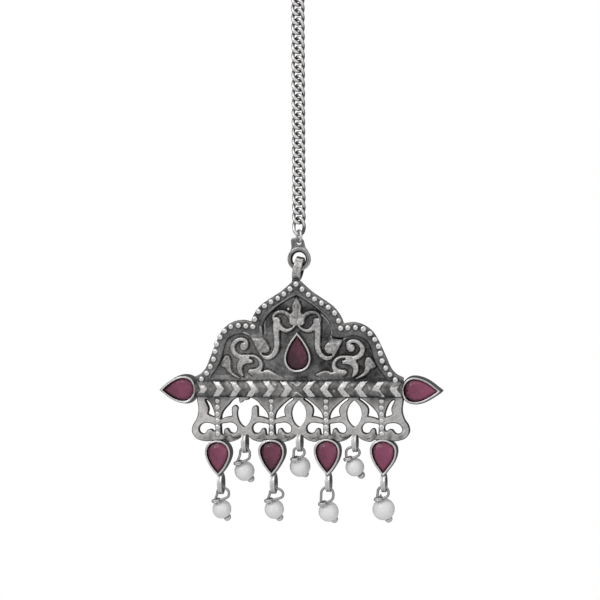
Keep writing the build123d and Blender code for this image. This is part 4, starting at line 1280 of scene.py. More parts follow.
@dataclass
class ChevronBar(SculptedSheet):
    """The convex bar along the crown's foot, with raised chevrons that point to its middle."""

    name: str = "chevron_bar"
    low: Pair = (-18.45, BAR_MIDDLE - 1.5)
    high: Pair = (18.45, BAR_MIDDLE + 1.5)
    back: float = -0.34
    by_hand: bool = False
    half_height: float = 1.5
    pitch: float = 3.05
    first: float = 1.0
    arm: float = 1.15
    slope: float = 2.2 / 3.0
    per_side: int = 6
    foot_height: float = 0.84
    crest: float = 0.4
    edge_roll: float = 0.06
    chevron_rise: float = 0.18
    stain_rise: float = 0.08
    groove_depth: float = 0.04
    gain: BarWear = BarWear()

    def outline(self, x: Field, z: Field) -> Field:
        """How far points lie inside the bar."""
        return np.minimum(self.high[0] - np.abs(x), self.half_height - np.abs(z - BAR_MIDDLE)) + 1e-4

    def chevrons(self, x: Field, z: Field) -> Field:
        """Draws the chevrons, which point to the middle.

        Args:
            x: The points' x.
            z: The points' z.

        Returns:
            A distance for each point; negative outside.
        """
        run = np.abs(x - 0.08) - self.first - self.slope * np.abs(z - BAR_MIDDLE)
        index = np.clip(np.floor(run / self.pitch), 0, self.per_side - 1)
        local = run - index * self.pitch
        return np.minimum(local, self.arm - local) * math.cos(math.atan(self.slope))

    def spots(self, x: Field, z: Field, table: Sequence[Row]) -> Field:
        """Draws oval spots.

        Args:
            x: The points' x.
            z: The points' z.
            table: The x, z, half width and half height of each spot.

        Returns:
            Values from 0 outside the spots to 1 in their middles.
        """
        best = np.zeros(x.shape)
        for sx, sz, half_width, half_height in table:
            far = np.hypot((x - sx) / half_width, (z - sz) / half_height)
            best = np.maximum(best, 1 - ramp(far, 0.2, 1.0))
        return best

    def sculpt(self, x: Field, z: Field, edge: Field) -> tuple[Field, Field]:
        """Front heights and wear of the bar's points.

        Args:
            x: The points' x.
            z: The points' z.
            edge: How far in from the edge they lie.

        Returns:
            Heights and wear values.
        """
        up = z - BAR_MIDDLE
        arrow = self.chevrons(x, z) + 0.06 * lumps(x, z, 0.3, 15)
        ragged = edge + 0.16 * lumps(x, z, 0.3, 16) * (up > 0)
        rubbed = ramp(self.spots(x, z, BAR_RUBBED), 0.0, 0.4)
        rise = ramp(arrow, -0.09, 0.04) * ramp(ragged, 0.08, 0.2) * (1 - 0.92 * rubbed)
        stain = self.spots(x, z, BAR_SPOTS) * (1 - rise)
        marks = np.maximum(*[stroke_distance(x, up, rows) for rows in BAR_MARKS])
        stain = np.maximum(stain, 1.8 * ramp(marks, -0.06, 0.05))
        share = up / self.half_height
        height = self.foot_height + self.crest * (1 - share ** 2) - self.edge_roll * (1 - ramp(edge, 0, 0.2))
        height += self.chevron_rise * rise + self.stain_rise * stain
        height -= self.groove_depth * hump(arrow, -0.11, 0.1)
        height += 0.025 * lumps(x, z, 0.45, 11) + 0.03 * lumps(x, z, 1.6, 12)
        gain = self.gain
        wear_and_shading = gain.plain + gain.groove * hump(arrow, -0.14, 0.14) + gain.stain * stain
        wear_and_shading += gain.edges * ramp(np.abs(up), 0.9, 1.35)
        wear_and_shading += gain.cloud * lumps(x, z, 0.6, 13) + gain.patch * lumps(x, z, 1.5, 17)
        bright = gain.chevron + gain.upper_arm * ramp(up, 0.0, 1.0) + gain.mottle * lumps(x, z, 0.35, 14)
        wear_and_shading += (bright - wear_and_shading) * rise
        return height, wear_and_shading


@dataclass(frozen=True)
class SheetWear:
    """How much each feature adds to the pierced sheet's wear."""

    plain: float = 0.74
    web: float = -0.34
    scallop: float = -0.22
    inner_edge: float = 0.12
    strip: float = -0.06
    left_end: float = 0.14
    left_web: float = -0.25
    under_bar: float = -0.14
    # Darker along the strips' sides, in the join: oxide with painted shade.
    strip_sides: float = -0.3
    scratch: float = 0.06
    cloud: float = 0.1
    line: float = -0.62
    curl: float = -0.46
    scallop_cloud: float = 0.12
    # Darker beside the cups' tops: oxide with painted contact shade.
    by_cups: float = -0.34


@dataclass
class PiercedSheet(SculptedSheet):
    """The pierced sheet below the bar, with its beaded stems and scalloped foot."""

    name: str = "pierced_sheet"
    low: Pair = (-19.65, -9.4)
    high: Pair = (19.65, -0.9)
    back: float = -1.1
    front: float = -0.15
    strip: float = 0.42
    edge_roll: float = 0.1
    strip_rise: float = 0.1
    curl_depth: float = 0.06
    scratch_slope: Pair = (0.82, 0.57)
    finish: SilverFinish = SHEET_SILVER
    gain: SheetWear = SheetWear()
    loops: dict[str, list[Field]] = field(default_factory=dict)

    def around(self, points: Sequence[Row], stem: float, side: int) -> Field:
        """Points given as distances out from a stem."""
        table = np.array(points, float)
        return np.stack([stem + side * table[:, 0], table[:, 1]], axis=1)

    def foot(self) -> Field:
        """The sheet's outer outline.

        Returns:
            Rows of x and z round the scallops and both ends.
        """
        runs = [self.around(SHEET_END[::-1], STEMS[0], -1)]
        for stem, following in zip(STEMS, STEMS[1:]):
            runs.append(self.around(SHEET_LOBE, stem, 1))
            runs.append(self.around(SHEET_LOBE[::-1], following, -1))
        runs.append(self.around(SHEET_END, STEMS[-1], 1))
        smooth = [smooth_line(run) for run in runs]
        ends = np.array([(smooth[-1][-1][0], -0.9), (smooth[0][0][0], -0.9)])
        return np.vstack([*smooth, ends])

    def openings(self) -> list[Field]:
        """The outlines of all the openings.

        Returns:
            Rows of x and z for each; the lenses' come just before the break's.
        """
        found = []
        for stem in STEMS:
            for side in (-1, 1):
                outer = abs(stem + side) > abs(STEMS[-1])
                upper = OUTER_UPPER if outer else INNER_UPPER
                lower = OUTER_LOWER if outer else INNER_LOWER
                found.append(np.vstack([smooth_line(self.around(run, stem, side)) for run in upper]))
                found.append(smooth_line(self.around(lower, stem, side), closed=True))
        for post in RING_POSTS:
            right = smooth_line(self.around(LENS, post, 1))
            found.append(np.vstack([right, smooth_line(self.around(LENS, post, -1))[::-1]]))
        found.append(np.vstack([smooth_line(BREAK_TOP)[:-1], smooth_line(BREAK_PRONGS)[:-1]]))
        return found

    def outline(self, x: Field, z: Field) -> Field:
        """Cuts the openings from the sheet.

        Args:
            x: The points' x.
            z: The points' z.

        Returns:
            A distance for each point; negative outside.
        """
        if not self.loops:
            self.loops["foot"] = [self.foot()]
            self.loops["openings"] = self.openings()
            self.loops["lenses"] = self.loops["openings"][-1 - len(RING_POSTS):-1]
        best = inside_distance(x, z, self.loops["foot"][0])
        for loop in self.loops["openings"]:
            best = np.minimum(best, -inside_distance(x, z, loop))
        return best

    def curls(self, x: Field, z: Field) -> Field:
        """Engraves the lines on the scallops.

        Args:
            x: The points' x.
            z: The points' z.

        Returns:
            Values from 0 outside the lines to 1 in a line.
        """
        best = np.full(x.shape, -FAR)
        for post in RING_POSTS:
            for rows in CURLS:
                best = np.maximum(best, stroke_distance(x - post, z, rows))
        return ramp(best, -0.1, 0.04)

    def sculpt(self, x: Field, z: Field, edge: Field) -> tuple[Field, Field]:
        """Front heights and wear of the sheet's points.

        Args:
            x: The points' x.
            z: The points' z.
            edge: How far in from the edge they lie.

        Returns:
            Heights and wear values.
        """
        stem = np.min([np.abs(x - s) for s in STEMS], axis=0)
        strip = 1 - ramp(stem, self.strip - 0.06, self.strip + 0.1)
        lens = np.max([inside_distance(x, z, loop) for loop in self.loops["lenses"]], axis=0)
        plain = np.maximum(ramp(lens, -0.45, -0.3), 1 - ramp(z, -8.3, -7.7))
        line = (1 - ramp(edge, 0.12, 0.22)) * (1 - 0.85 * plain)
        curl = self.curls(x, z)
        run, climb = self.scratch_slope
        along, across = run * x + climb * z, run * z - climb * x
        scratch = lumps(along / 12, across, 0.16, 21) + 0.7 * lumps(along / 6, across, 0.45, 24)
        height = self.front - self.edge_roll * (1 - ramp(edge, 0, 0.12)) + self.strip_rise * strip
        height -= self.curl_depth * curl
        height += 0.012 * scratch + 0.015 * lumps(x, z, 0.5, 22)
        web = ramp(z, -4.6, -2.2) * (1 - ramp(stem, 1.6, 3.0))
        scallop = 1 - ramp(z, -8.6, -7.4)
        gain = self.gain
        wear_and_shading = gain.plain + gain.web * web + gain.scallop * scallop + gain.inner_edge * hump(edge, 0.3, 0.12)
        wear_and_shading += gain.strip * strip + (gain.left_end + gain.left_web * web) * (1 - ramp(x, -16.5, -13.8))
        wear_and_shading += gain.under_bar * ramp(z, -2.4, -1.5)
        # Oxide with painted shade along the strips' sides.
        wear_and_shading += gain.strip_sides * hump(stem, self.strip + 0.06, 0.1) * ramp(z, -8.4, -8.0)
        wear_and_shading += gain.scratch * scratch + gain.cloud * lumps(x, z, 1.2, 23)
        wear_and_shading += gain.line * line + gain.curl * curl
        wear_and_shading += gain.scallop_cloud * scallop * lumps(x, z, 0.5, 25)
        # Oxide with painted contact shade beside the cups.
        wear_and_shading += gain.by_cups * hump(stem, 1.35, 0.75) * (1 - ramp(z, -7.8, -7.2))
        wear_and_shading = np.where(edge < 0.02, np.minimum(wear_and_shading, self.wall_wear), wear_and_shading)
        return height, wear_and_shading


@dataclass(frozen=True)
class ConnectorWear:
    """How much each feature adds to the connector's wear."""

    plain: float = 0.42
    crest: float = 0.38
    groove: float = -0.25
    shoulder: float = -0.2
    inside: float = -0.4
    across: float = 0.006
    outline: float = 0.25
    cloud: float = 0.1


@dataclass
class Connector(SculptedSheet):
    """The cast eye that the crown hangs from, with a drilled neck."""

    name: str = "cast_connector"
    low: Pair = (-2.15, -2.15)
    high: Pair = (2.15, 3.9)
    cell: float = 0.075
    back: float = 0.0
    closing: Back = Back.MIRRORED
    by_hand: bool = False
    eye_radius: float = 1.63
    eye_wire: float = 0.9
    neck_hole: float = 0.45
    neck_hole_z: float = 2.95
    neck_half_depth: float = 0.25
    groove_depth: float = 0.07
    role: Role = Role(Body.CHAIN, ("connector",), Slot.CAST_SILVER)
    gain: ConnectorWear = ConnectorWear()

    def outline(self, x: Field, z: Field) -> Field:
        """Joins the eye and the drilled neck.

        Args:
            x: The points' x.
            z: The points' z.

        Returns:
            A distance for each point; negative outside.
        """
        radius = np.hypot(x, z)
        hoop = self.eye_wire / 2 - np.abs(radius - self.eye_radius)
        neck = np.minimum(inside_distance(x, z, smooth_line(CONNECTOR_NECK)), radius - self.eye_radius)
        hole = np.hypot(x, z - self.neck_hole_z) - self.neck_hole
        return np.minimum(np.maximum(hoop, neck), hole)

    def sculpt(self, x: Field, z: Field, edge: Field) -> tuple[Field, Field]:
        """Half depths and wear of the connector's points.

        Args:
            x: The points' x.
            z: The points' z.
            edge: How far in from the edge they lie.

        Returns:
            Half depths and wear values.
        """
        radius = np.hypot(x, z)
        off = np.abs(radius - self.eye_radius) / (self.eye_wire / 2)
        hoop = self.eye_wire / 2 * np.sqrt(np.clip(1 - off ** 2, 0.0, 1))
        rounded = self.neck_half_depth * np.sqrt(ramp(edge, -0.05, 0.18))
        neck = np.where(radius > self.eye_radius, rounded, 0)
        height = np.maximum(hoop, neck) + 0.015 * lumps(x, z, 0.5, 31)
        groove = hump(radius, self.eye_radius + 0.12, 0.11)
        height = np.maximum(height - self.groove_depth * groove, 0.02)
        gain = self.gain
        wear_and_shading = gain.plain + gain.crest * hump(radius, self.eye_radius + 0.32, 0.16) + gain.groove * groove
        wear_and_shading += gain.shoulder * ramp(z, 1.7, 2.3) + gain.across * (x - 1.0)
        wear_and_shading += gain.cloud * lumps(x, z, 0.6, 32)
        wear_and_shading += gain.inside * (1 - ramp(radius, self.eye_radius - 0.25, self.eye_radius - 0.02))
        wear_and_shading += gain.outline * hump(edge, 0.1, 0.12) * (radius > self.eye_radius + 0.3)
        return height, wear_and_shading


# --- crown details ---
BEAD_DEPTH, BEAD_SUNK, BEAD_UNEVEN = 0.64, 0.12, 0.07  # shares of a bead's radius
DIMPLE_WIDTH, DIMPLE_DEPTH = 0.42, 0.12
DIMPLE_DARK = 0.5


def granule(bm: Mesh, x: float, z: float, seat: float, radius: float, stretch: Pair = (1.0, 1.0)) -> None:
    """Adds a bead of silver with a small dimple on top, sunk a little in its seat.

    Args:
        bm: The mesh to add to.
        x: Its x in the crown's drawing.
        z: Its z there.
        seat: Its seat's front height.
        radius: Its radius.
        stretch: How much wider and taller than round it is.
    """
    layer = wear_and_shading_layer(bm)
    rng = np.random.default_rng(int(9000 + 37 * x + 101 * z))
    wide, tall, dimple_x, dimple_z = 1 + rng.uniform(-BEAD_UNEVEN, BEAD_UNEVEN, 4)
    x, z = hand(x, z)
    made = bmesh.ops.create_icosphere(bm, subdivisions=3, radius=radius)["verts"]
    for vert in made:
        top = max(0.0, -vert.co.y / radius)
        off = math.hypot(vert.co.x / radius + 1.5 * (dimple_x - 1), vert.co.z / radius + 1.5 * (dimple_z - 1))
        dent = 1 - min(1.0, off / DIMPLE_WIDTH) if top > 0.2 else 0.0
        vert[layer] = min(1.0, 0.75 + 2.6 * top) - DIMPLE_DARK * dent
        vert.co = (vert.co.x * wide * stretch[0], vert.co.y * BEAD_DEPTH + DIMPLE_DEPTH * radius * dent,
                   vert.co.z * tall * stretch[1])
    bmesh.ops.translate(bm, vec=(x, -(seat + BEAD_SUNK * radius), z), verts=made)


@dataclass
class Granules:
    """All the soldered beads of the crown."""

    band: float = 0.9
    ground: float = 0.35
    strip: float = -0.05
    radius: float = 0.5
    apex: Pair = (0.0, 18.45)
    stray: Pair = (-1.5, 14.05)
    stray_radius: float = 0.24
    crushed: tuple[int, int] = (1, 1)
    first: float = -2.0
    pitch: float = 1.15
    count: int = 6

    def build(self, place: Matrix) -> Mesh:
        """Makes the beads of the border, of the stems and the stray one.

        Args:
            place: The crown's place.

        Returns:
            The beads' mesh.
        """
        bm = bmesh.new()
        granule(bm, *self.apex, self.band, self.radius)
        granule(bm, *self.stray, self.ground + 0.1, self.stray_radius)
        for side in (-1, 1):
            for x, z in BORDER_GRANULES:
                granule(bm, side * x, z, self.band, self.radius)
        for number, stem in enumerate(STEMS):
            for step in range(self.count):
                stretch = (0.7, 1.25) if (number, step) == self.crushed else (1.0, 1.0)
                granule(bm, stem, self.first - self.pitch * step, self.strip, self.radius, stretch)
        return settle(bm, place)


@dataclass(frozen=True)
class Cup:
    """A pear-shaped bezel cup and the seat of its stone."""

    x: float
    z: float
    half_width: float
    length: float
    tip: float
    wall: float
    back: float
    rim: float
    flare: float = 0.1

    def pear(self, shrink: float, count: int) -> list[Pair]:
        """The pear's outline, from its tip round.

        Args:
            shrink: How much smaller it is all round.
            count: How many points.

        Returns:
            The points' x and z.
        """
        half_width, length = self.half_width - shrink, self.length - shrink * 2.46
        aim = math.radians(self.tip)
        ahead, side = (math.cos(aim), math.sin(aim)), (-math.sin(aim), math.cos(aim))
        widest = 4 / (3 * math.sqrt(3))
        points = []
        for t in turns(count):
            along = length / 2 * math.cos(t) - shrink * 0.23
            across = half_width / widest * math.sin(t) * abs(math.sin(t / 2))
            points.append((self.x + along * ahead[0] + across * side[0],
                           self.z + along * ahead[1] + across * side[1]))
        return points

    def ring(self, shrink: float, height: float, count: int = 56) -> list[Vector]:
        """The pear at a front height, a little uneven as if pushed over by hand.

        Args:
            shrink: How much smaller it is all round.
            height: The front height.
            count: How many points.

        Returns:
            The points.
        """
        points = []
        for t, (x, z) in zip(turns(count), self.pear(shrink, count)):
            push = 1 + 0.008 * math.sin(3 * t + self.x) + 0.006 * math.sin(7 * t + 2 * self.x)
            points.append(Vector((self.x + (x - self.x) * push, -height, self.z + (z - self.z) * push)))
        return points


CUPS = {
    "centre": Cup(0.26, 6.6, 2.43, 7.1, 90, 0.42, 0.0, 1.9),
    "left": Cup(-21.98, -0.08, 2.65, 7.3, 182, 0.62, -1.75, 0.5, flare=0.3),
    "right": Cup(21.7, -0.16, 2.53, 7.35, -1, 0.58, -1.75, 0.5, flare=0.3),
    "lower_1": Cup(-14.76, -12.32, 2.4, 6.6, -89, 0.42, -2.0, 0.2),
    "lower_2": Cup(-5.0, -12.05, 2.4, 6.6, -90, 0.42, -2.0, 0.2),
    "lower_3": Cup(4.98, -11.88, 2.4, 6.6, -89, 0.42, -2.0, 0.2),
    "lower_4": Cup(14.9, -11.82, 2.4, 6.55, -91, 0.42, -2.0, 0.2),
}


# How much painted light shows in each stone's glass.
STONE_LIGHT = {"centre": 0.14, "left": 0.62, "right": 0.82, "lower_1": 0.74, "lower_2": 0.36, "lower_3": 0.6,
               "lower_4": 0.8}


@dataclass
class Bezel:
    """A bezel cup's metal."""

    cup: Cup

    def build(self, place: Matrix) -> Mesh:
        """Makes the wall from its back up to the doubled rim and down inside to the seat.

        Args:
            place: The crown's place.

        Returns:
            The cup's mesh.
        """
        cup = self.cup
        bm = bmesh.new()
        flare, wall, back, rim = cup.flare, cup.wall, cup.back, cup.rim
        lip = flare + 0.02
        profile = [  # shrink, height, wear
            (0.5, back, 0.3), (0.12, back, 0.3), (0.0, back + 0.14, 0.3), (0.01, back + 0.6, 0.25),
            (flare * 0.5, rim - 0.5, 0.2), (flare - 0.05, rim - 0.16, 0.3), (lip, rim - 0.03, 0.8),
            (lip + 0.08, rim, 0.9), ((lip + wall) / 2, rim - 0.03, 0.68), (wall - 0.1, rim, 0.9),
            (wall - 0.02, rim - 0.04, 0.6), (wall, rim - 0.12, 0.05), (wall + 0.01, rim - 0.35, 0.0),
            (wall + 0.02, back + 0.42, 0.0), (wall + 0.3, back + 0.4, 0.0)]
        grow(bm, [cup.ring(shrink, height) for shrink, height, _ in profile], [row[2] for row in profile])
        return settle(bm, place)


@dataclass
class SetStone:
    """A flat-topped pear-cut stone with a ring of star facets."""

    cup: Cup
    # The painted light in the glass: a level for the stone, lighter to the right by the slope, a painted
    # shadow on the facets round the girdle, and painted facet reflections of random strength.
    tone: float = 0.6
    slope: float = 0.4
    shadow: float = 0.28
    spots: float = 0.06
    sides: int = 14

    def build(self, place: Matrix) -> Mesh:
        """Makes the stone's facets, wrapped round its corners.

        Args:
            place: The crown's place.

        Returns:
            The stone's mesh.
        """
        cup, sides = self.cup, self.sides
        bm = bmesh.new()
        girdle = cup.wall + 0.09
        outline = np.array(cup.pear(girdle, sides * 2))
        middle = outline.mean(axis=0)
        levels = [  # scale, rise over the rim, corners
            (0.70, 0.12, outline[::2]), (0.87, -0.07, outline[1::2]), (1.0, -0.3, outline[::2]),
            (1.0, -0.45, outline[::2]), (0.45, -1.05, outline[1::2])]
        for scale, rise, corners in levels:
            for x, z in middle + (corners - middle) * scale:
                bm.verts.new((x, -(cup.rim + rise), z))
        made = bmesh.ops.convex_hull(bm, input=bm.verts)
        spare = [item for item in made["geom_interior"] if isinstance(item, bmesh.types.BMVert)]
        bmesh.ops.delete(bm, geom=spare, context="VERTS")
        bmesh.ops.dissolve_limit(bm, angle_limit=math.radians(1.0), verts=bm.verts, edges=bm.edges)
        table = max(bm.faces, key=lambda face: face.calc_area())
        bmesh.ops.poke(bm, faces=[table], offset=0.0)
        self.light(bm, middle)
        return settle(bm, place)

    def light(self, bm: Mesh, middle: Field) -> None:
        """Stores each facet's painted light: the glass painted deeper at its left edge, lighter to the right
        and a little towards the top, darker round the girdle as painted shadow, and with painted reflections
        of random strength.

        Args:
            bm: The stone.
            middle: The x and z of its middle.
        """
        tones = bm.faces.layers.float.new(FACET_LIGHT)
        rng = np.random.default_rng(int(100 * (40 + self.cup.x)))
        reach = self.cup.length / 2
        for face in bm.faces:
            spot = face.calc_center_median()
            across, up = (spot.x - middle[0]) / reach, (spot.z - middle[1]) / reach
            shadow = self.shadow if -spot.y < self.cup.rim + 0.02 else 0.0
            tone = self.tone + self.slope * across + 0.12 * up - shadow * (1 - 0.6 * across)
            tone += rng.uniform(-self.spots, self.spots)
            face[tones] = clamp(tone)


@dataclass
class StripHoop:
    """An oval hoop of strip seen edge on, with rounded edges and a groove along its outer face; its back
    half, and its top where asked, are painted darker as shade.
    """

    width: float
    half_depth: float
    half_height: float
    strip: float
    end_strip: float
    groove: float = 0.07
    wear_and_shading: float = 0.5
    # The back and top values paint shade: the back half darker the further back it goes, and the top dark
    # where the strip curves away.
    back_tone: float = 0.45
    top_shade: float = 0.0
    top_share: float = 0.88
    sides: int = 40

    def section(self) -> list[Pair]:
        """The strip's section: shares of the half width, and of its thickness in from its outer face."""
        return [(-1.0, 0.3), (-0.86, 0.04), (-0.4, 0.0), (0.0, 1.0), (0.4, 0.0), (0.86, 0.04), (1.0, 0.3),
                (1.0, 0.75), (0.85, 0.98), (0.0, 1.01), (-0.85, 0.98), (-1.0, 0.75)]

    def build(self, bm: Mesh, place: Matrix) -> None:
        """Adds the hoop about its own middle, standing across the face.

        Args:
            bm: The mesh to add to.
            place: The hoop's place in it.
        """
        rings, wear_and_shading_values = [], []
        for t in turns(self.sides):
            depth, rise = math.cos(t), math.sin(t)
            thick = self.strip * depth ** 2 + self.end_strip * rise ** 2
            ring = []
            for index, (across, down) in enumerate(self.section()):
                drop = self.groove if index == 3 else down * thick
                ring.append(place @ Vector((across * self.width / 2, (self.half_depth - drop) * depth,
                                            (self.half_height - drop) * rise)))
            rings.append(ring)
            # Painted shade: darker towards the back, and dark on the top past top_share.
            dark = self.top_shade if rise > self.top_share else 0.0
            wear_and_shading_values.append(self.wear_and_shading - self.back_tone * depth - dark)
        grow(bm, rings, wear_and_shading_values, closed=True)


RINGS = {  # x, outer top, outer bottom
    "under_1": (-14.45, -14.9, -18.8), "under_2": (-4.82, -14.75, -18.55), "under_3": (5.05, -14.55, -18.05),
    "under_4": (14.85, -14.5, -17.95), "post_1": (-9.98, -7.6, -11.4), "post_2": (-0.05, -7.5, -11.05),
    "post_3": (9.83, -7.5, -11.0),
}


@dataclass
class SolderedRings:
    """The seven rings that carry the drops."""

    half_depth: float = 1.5
    strip: float = 0.45
    width: float = 0.85
    middle: float = -1.0
    shading: float = 0.9

    def build(self, place: Matrix) -> Mesh:
        """Makes all the rings.

        Args:
            place: The crown's place.

        Returns:
            The rings' mesh.
        """
        bm = bmesh.new()
        for x, top, bottom in RINGS.values():
            # Each ring's back half is painted darker as shade.
            hoop = StripHoop(self.width, self.half_depth, (top - bottom) / 2, self.strip, self.strip)
            hoop.build(bm, Matrix.Translation((x, -self.middle, (top + bottom) / 2)))
        bmesh.ops.recalc_face_normals(bm, faces=bm.faces)
        shade_by_shape(bm, self.shading)
        return settle(bm, place)


@dataclass
class Bail:
    """The strip loop on the crown's apex, leaning a little to the right."""

    width: float = 1.5
    lean: float = 12.5
    foot: Pair = (-0.22, 19.1)
    top: float = 4.25
    strip: float = 0.85
    half_depth: float = 1.45
    balance: float = 0.28
    block: Triple = (1.3, 1.3, 1.4)
    block_rounding: float = 0.22
    shading: float = 0.7

    def build(self, place: Matrix) -> Mesh:
        """Makes the loop and its foot.

        Args:
            place: The crown's place.

        Returns:
            The bail's mesh.
        """
        bm = bmesh.new()
        # The loop's back half is painted darker as shade, and its top dark where it curves away.
        hoop = StripHoop(self.width, self.half_depth, self.top / 2, 0.5, self.strip, 0.03, 0.25, top_shade=0.4)
        hoop.build(bm, Matrix.Translation((0, 0, self.top / 2)))
        block = bmesh.ops.create_cube(bm, size=1.0)["verts"]
        bmesh.ops.scale(bm, vec=self.block, verts=block)
        edges = list({e for v in block for e in v.link_edges})
        bmesh.ops.bevel(bm, geom=edges, offset=self.block_rounding, offset_type="OFFSET", affect="EDGES",
                        segments=3, profile=0.5, material=-1)
        layer = wear_and_shading_layer(bm)
        for vert in bm.verts:
            vert[layer] = min(vert[layer], 0.1 + 0.55 * max(0.0, vert.co.z / 1.3))
        bmesh.ops.recalc_face_normals(bm, faces=bm.faces)
        shade_by_shape(bm, self.shading)
        lean = Matrix.Translation((self.foot[0], self.balance, self.foot[1])) @ Matrix.Rotation(
            math.radians(self.lean), 4, "Y")
        return settle(bm, place @ lean)


class Crown:
    """The soldered crown: plate, bar, pierced sheet, beads, cups, rings and bail, with its stones."""

    def setting(self, place: Matrix, name: str) -> None:
        """Builds and dresses a cup and its stone.

        Args:
            place: The crown's place.
            name: The cup's name.
        """
        cup = CUPS[name]
        metal = Bezel(cup).build(place)
        finish_piece(metal, f"bezel_{name}", BEZEL_SILVER, CROWN_ROLE, sharp=35)
        stone = SetStone(cup, STONE_LIGHT[name]).build(place)
        stone_role = Role(Body.PENDANT, (f"stone_{name}",), Slot.STONE)
        finish_piece(stone, f"set_stone_{name}", StoneFinish(), stone_role, sharp=5)

    def build(self, place: Matrix) -> None:
        """Builds and dresses every piece of the crown.

        Args:
            place: The crown's place.
        """
        for sheet in (CrownPlate(), ChevronBar(), PiercedSheet()):
            sheet.dress(place)
        finish_piece(Granules().build(place), "granules", BEAD_SILVER, CROWN_ROLE)
        for name in CUPS:
            self.setting(place, name)
        finish_piece(SolderedRings().build(place), "soldered_rings", RING_SILVER, CROWN_ROLE)
        finish_piece(Bail().build(place), "bail", BAIL_SILVER, CROWN_ROLE)


# --- pearl drops ---
@dataclass(frozen=True)
class Drop:
    """One drop's sizes: its eye, its pearl, how its drilled axis turns and where a cut wire end shows."""

    eye: Pair
    reach: Pair
    pearl: Pair
    diameter: float
    tilt: float
    lean: float
    stub: Pair | None = None


DROPS = [
    Drop((-14.07, -18.6), (1.12, 1.0), (-14.62, -21.58), 3.45, 23, 34),
    Drop((-9.97, -11.55), (0.95, 1.15), (-10.4, -14.7), 3.6, 27, 38),
    Drop((-4.32, -18.5), (1.25, 0.9), (-5.02, -21.38), 3.5, 22, 34),
    Drop((-0.15, -11.1), (1.0, 0.85), (-0.35, -13.8), 3.75, 20, 46),
    Drop((4.83, -18.5), (1.12, 1.3), (4.75, -21.65), 3.6, 26, 38),
    Drop((9.43, -11.0), (1.2, 0.9), (9.6, -13.7), 3.3, 33, 29),
    Drop((14.72, -17.9), (0.97, 1.0), (14.58, -21.0), 3.95, 20, 32, stub=(14.4, -18.25)),
]


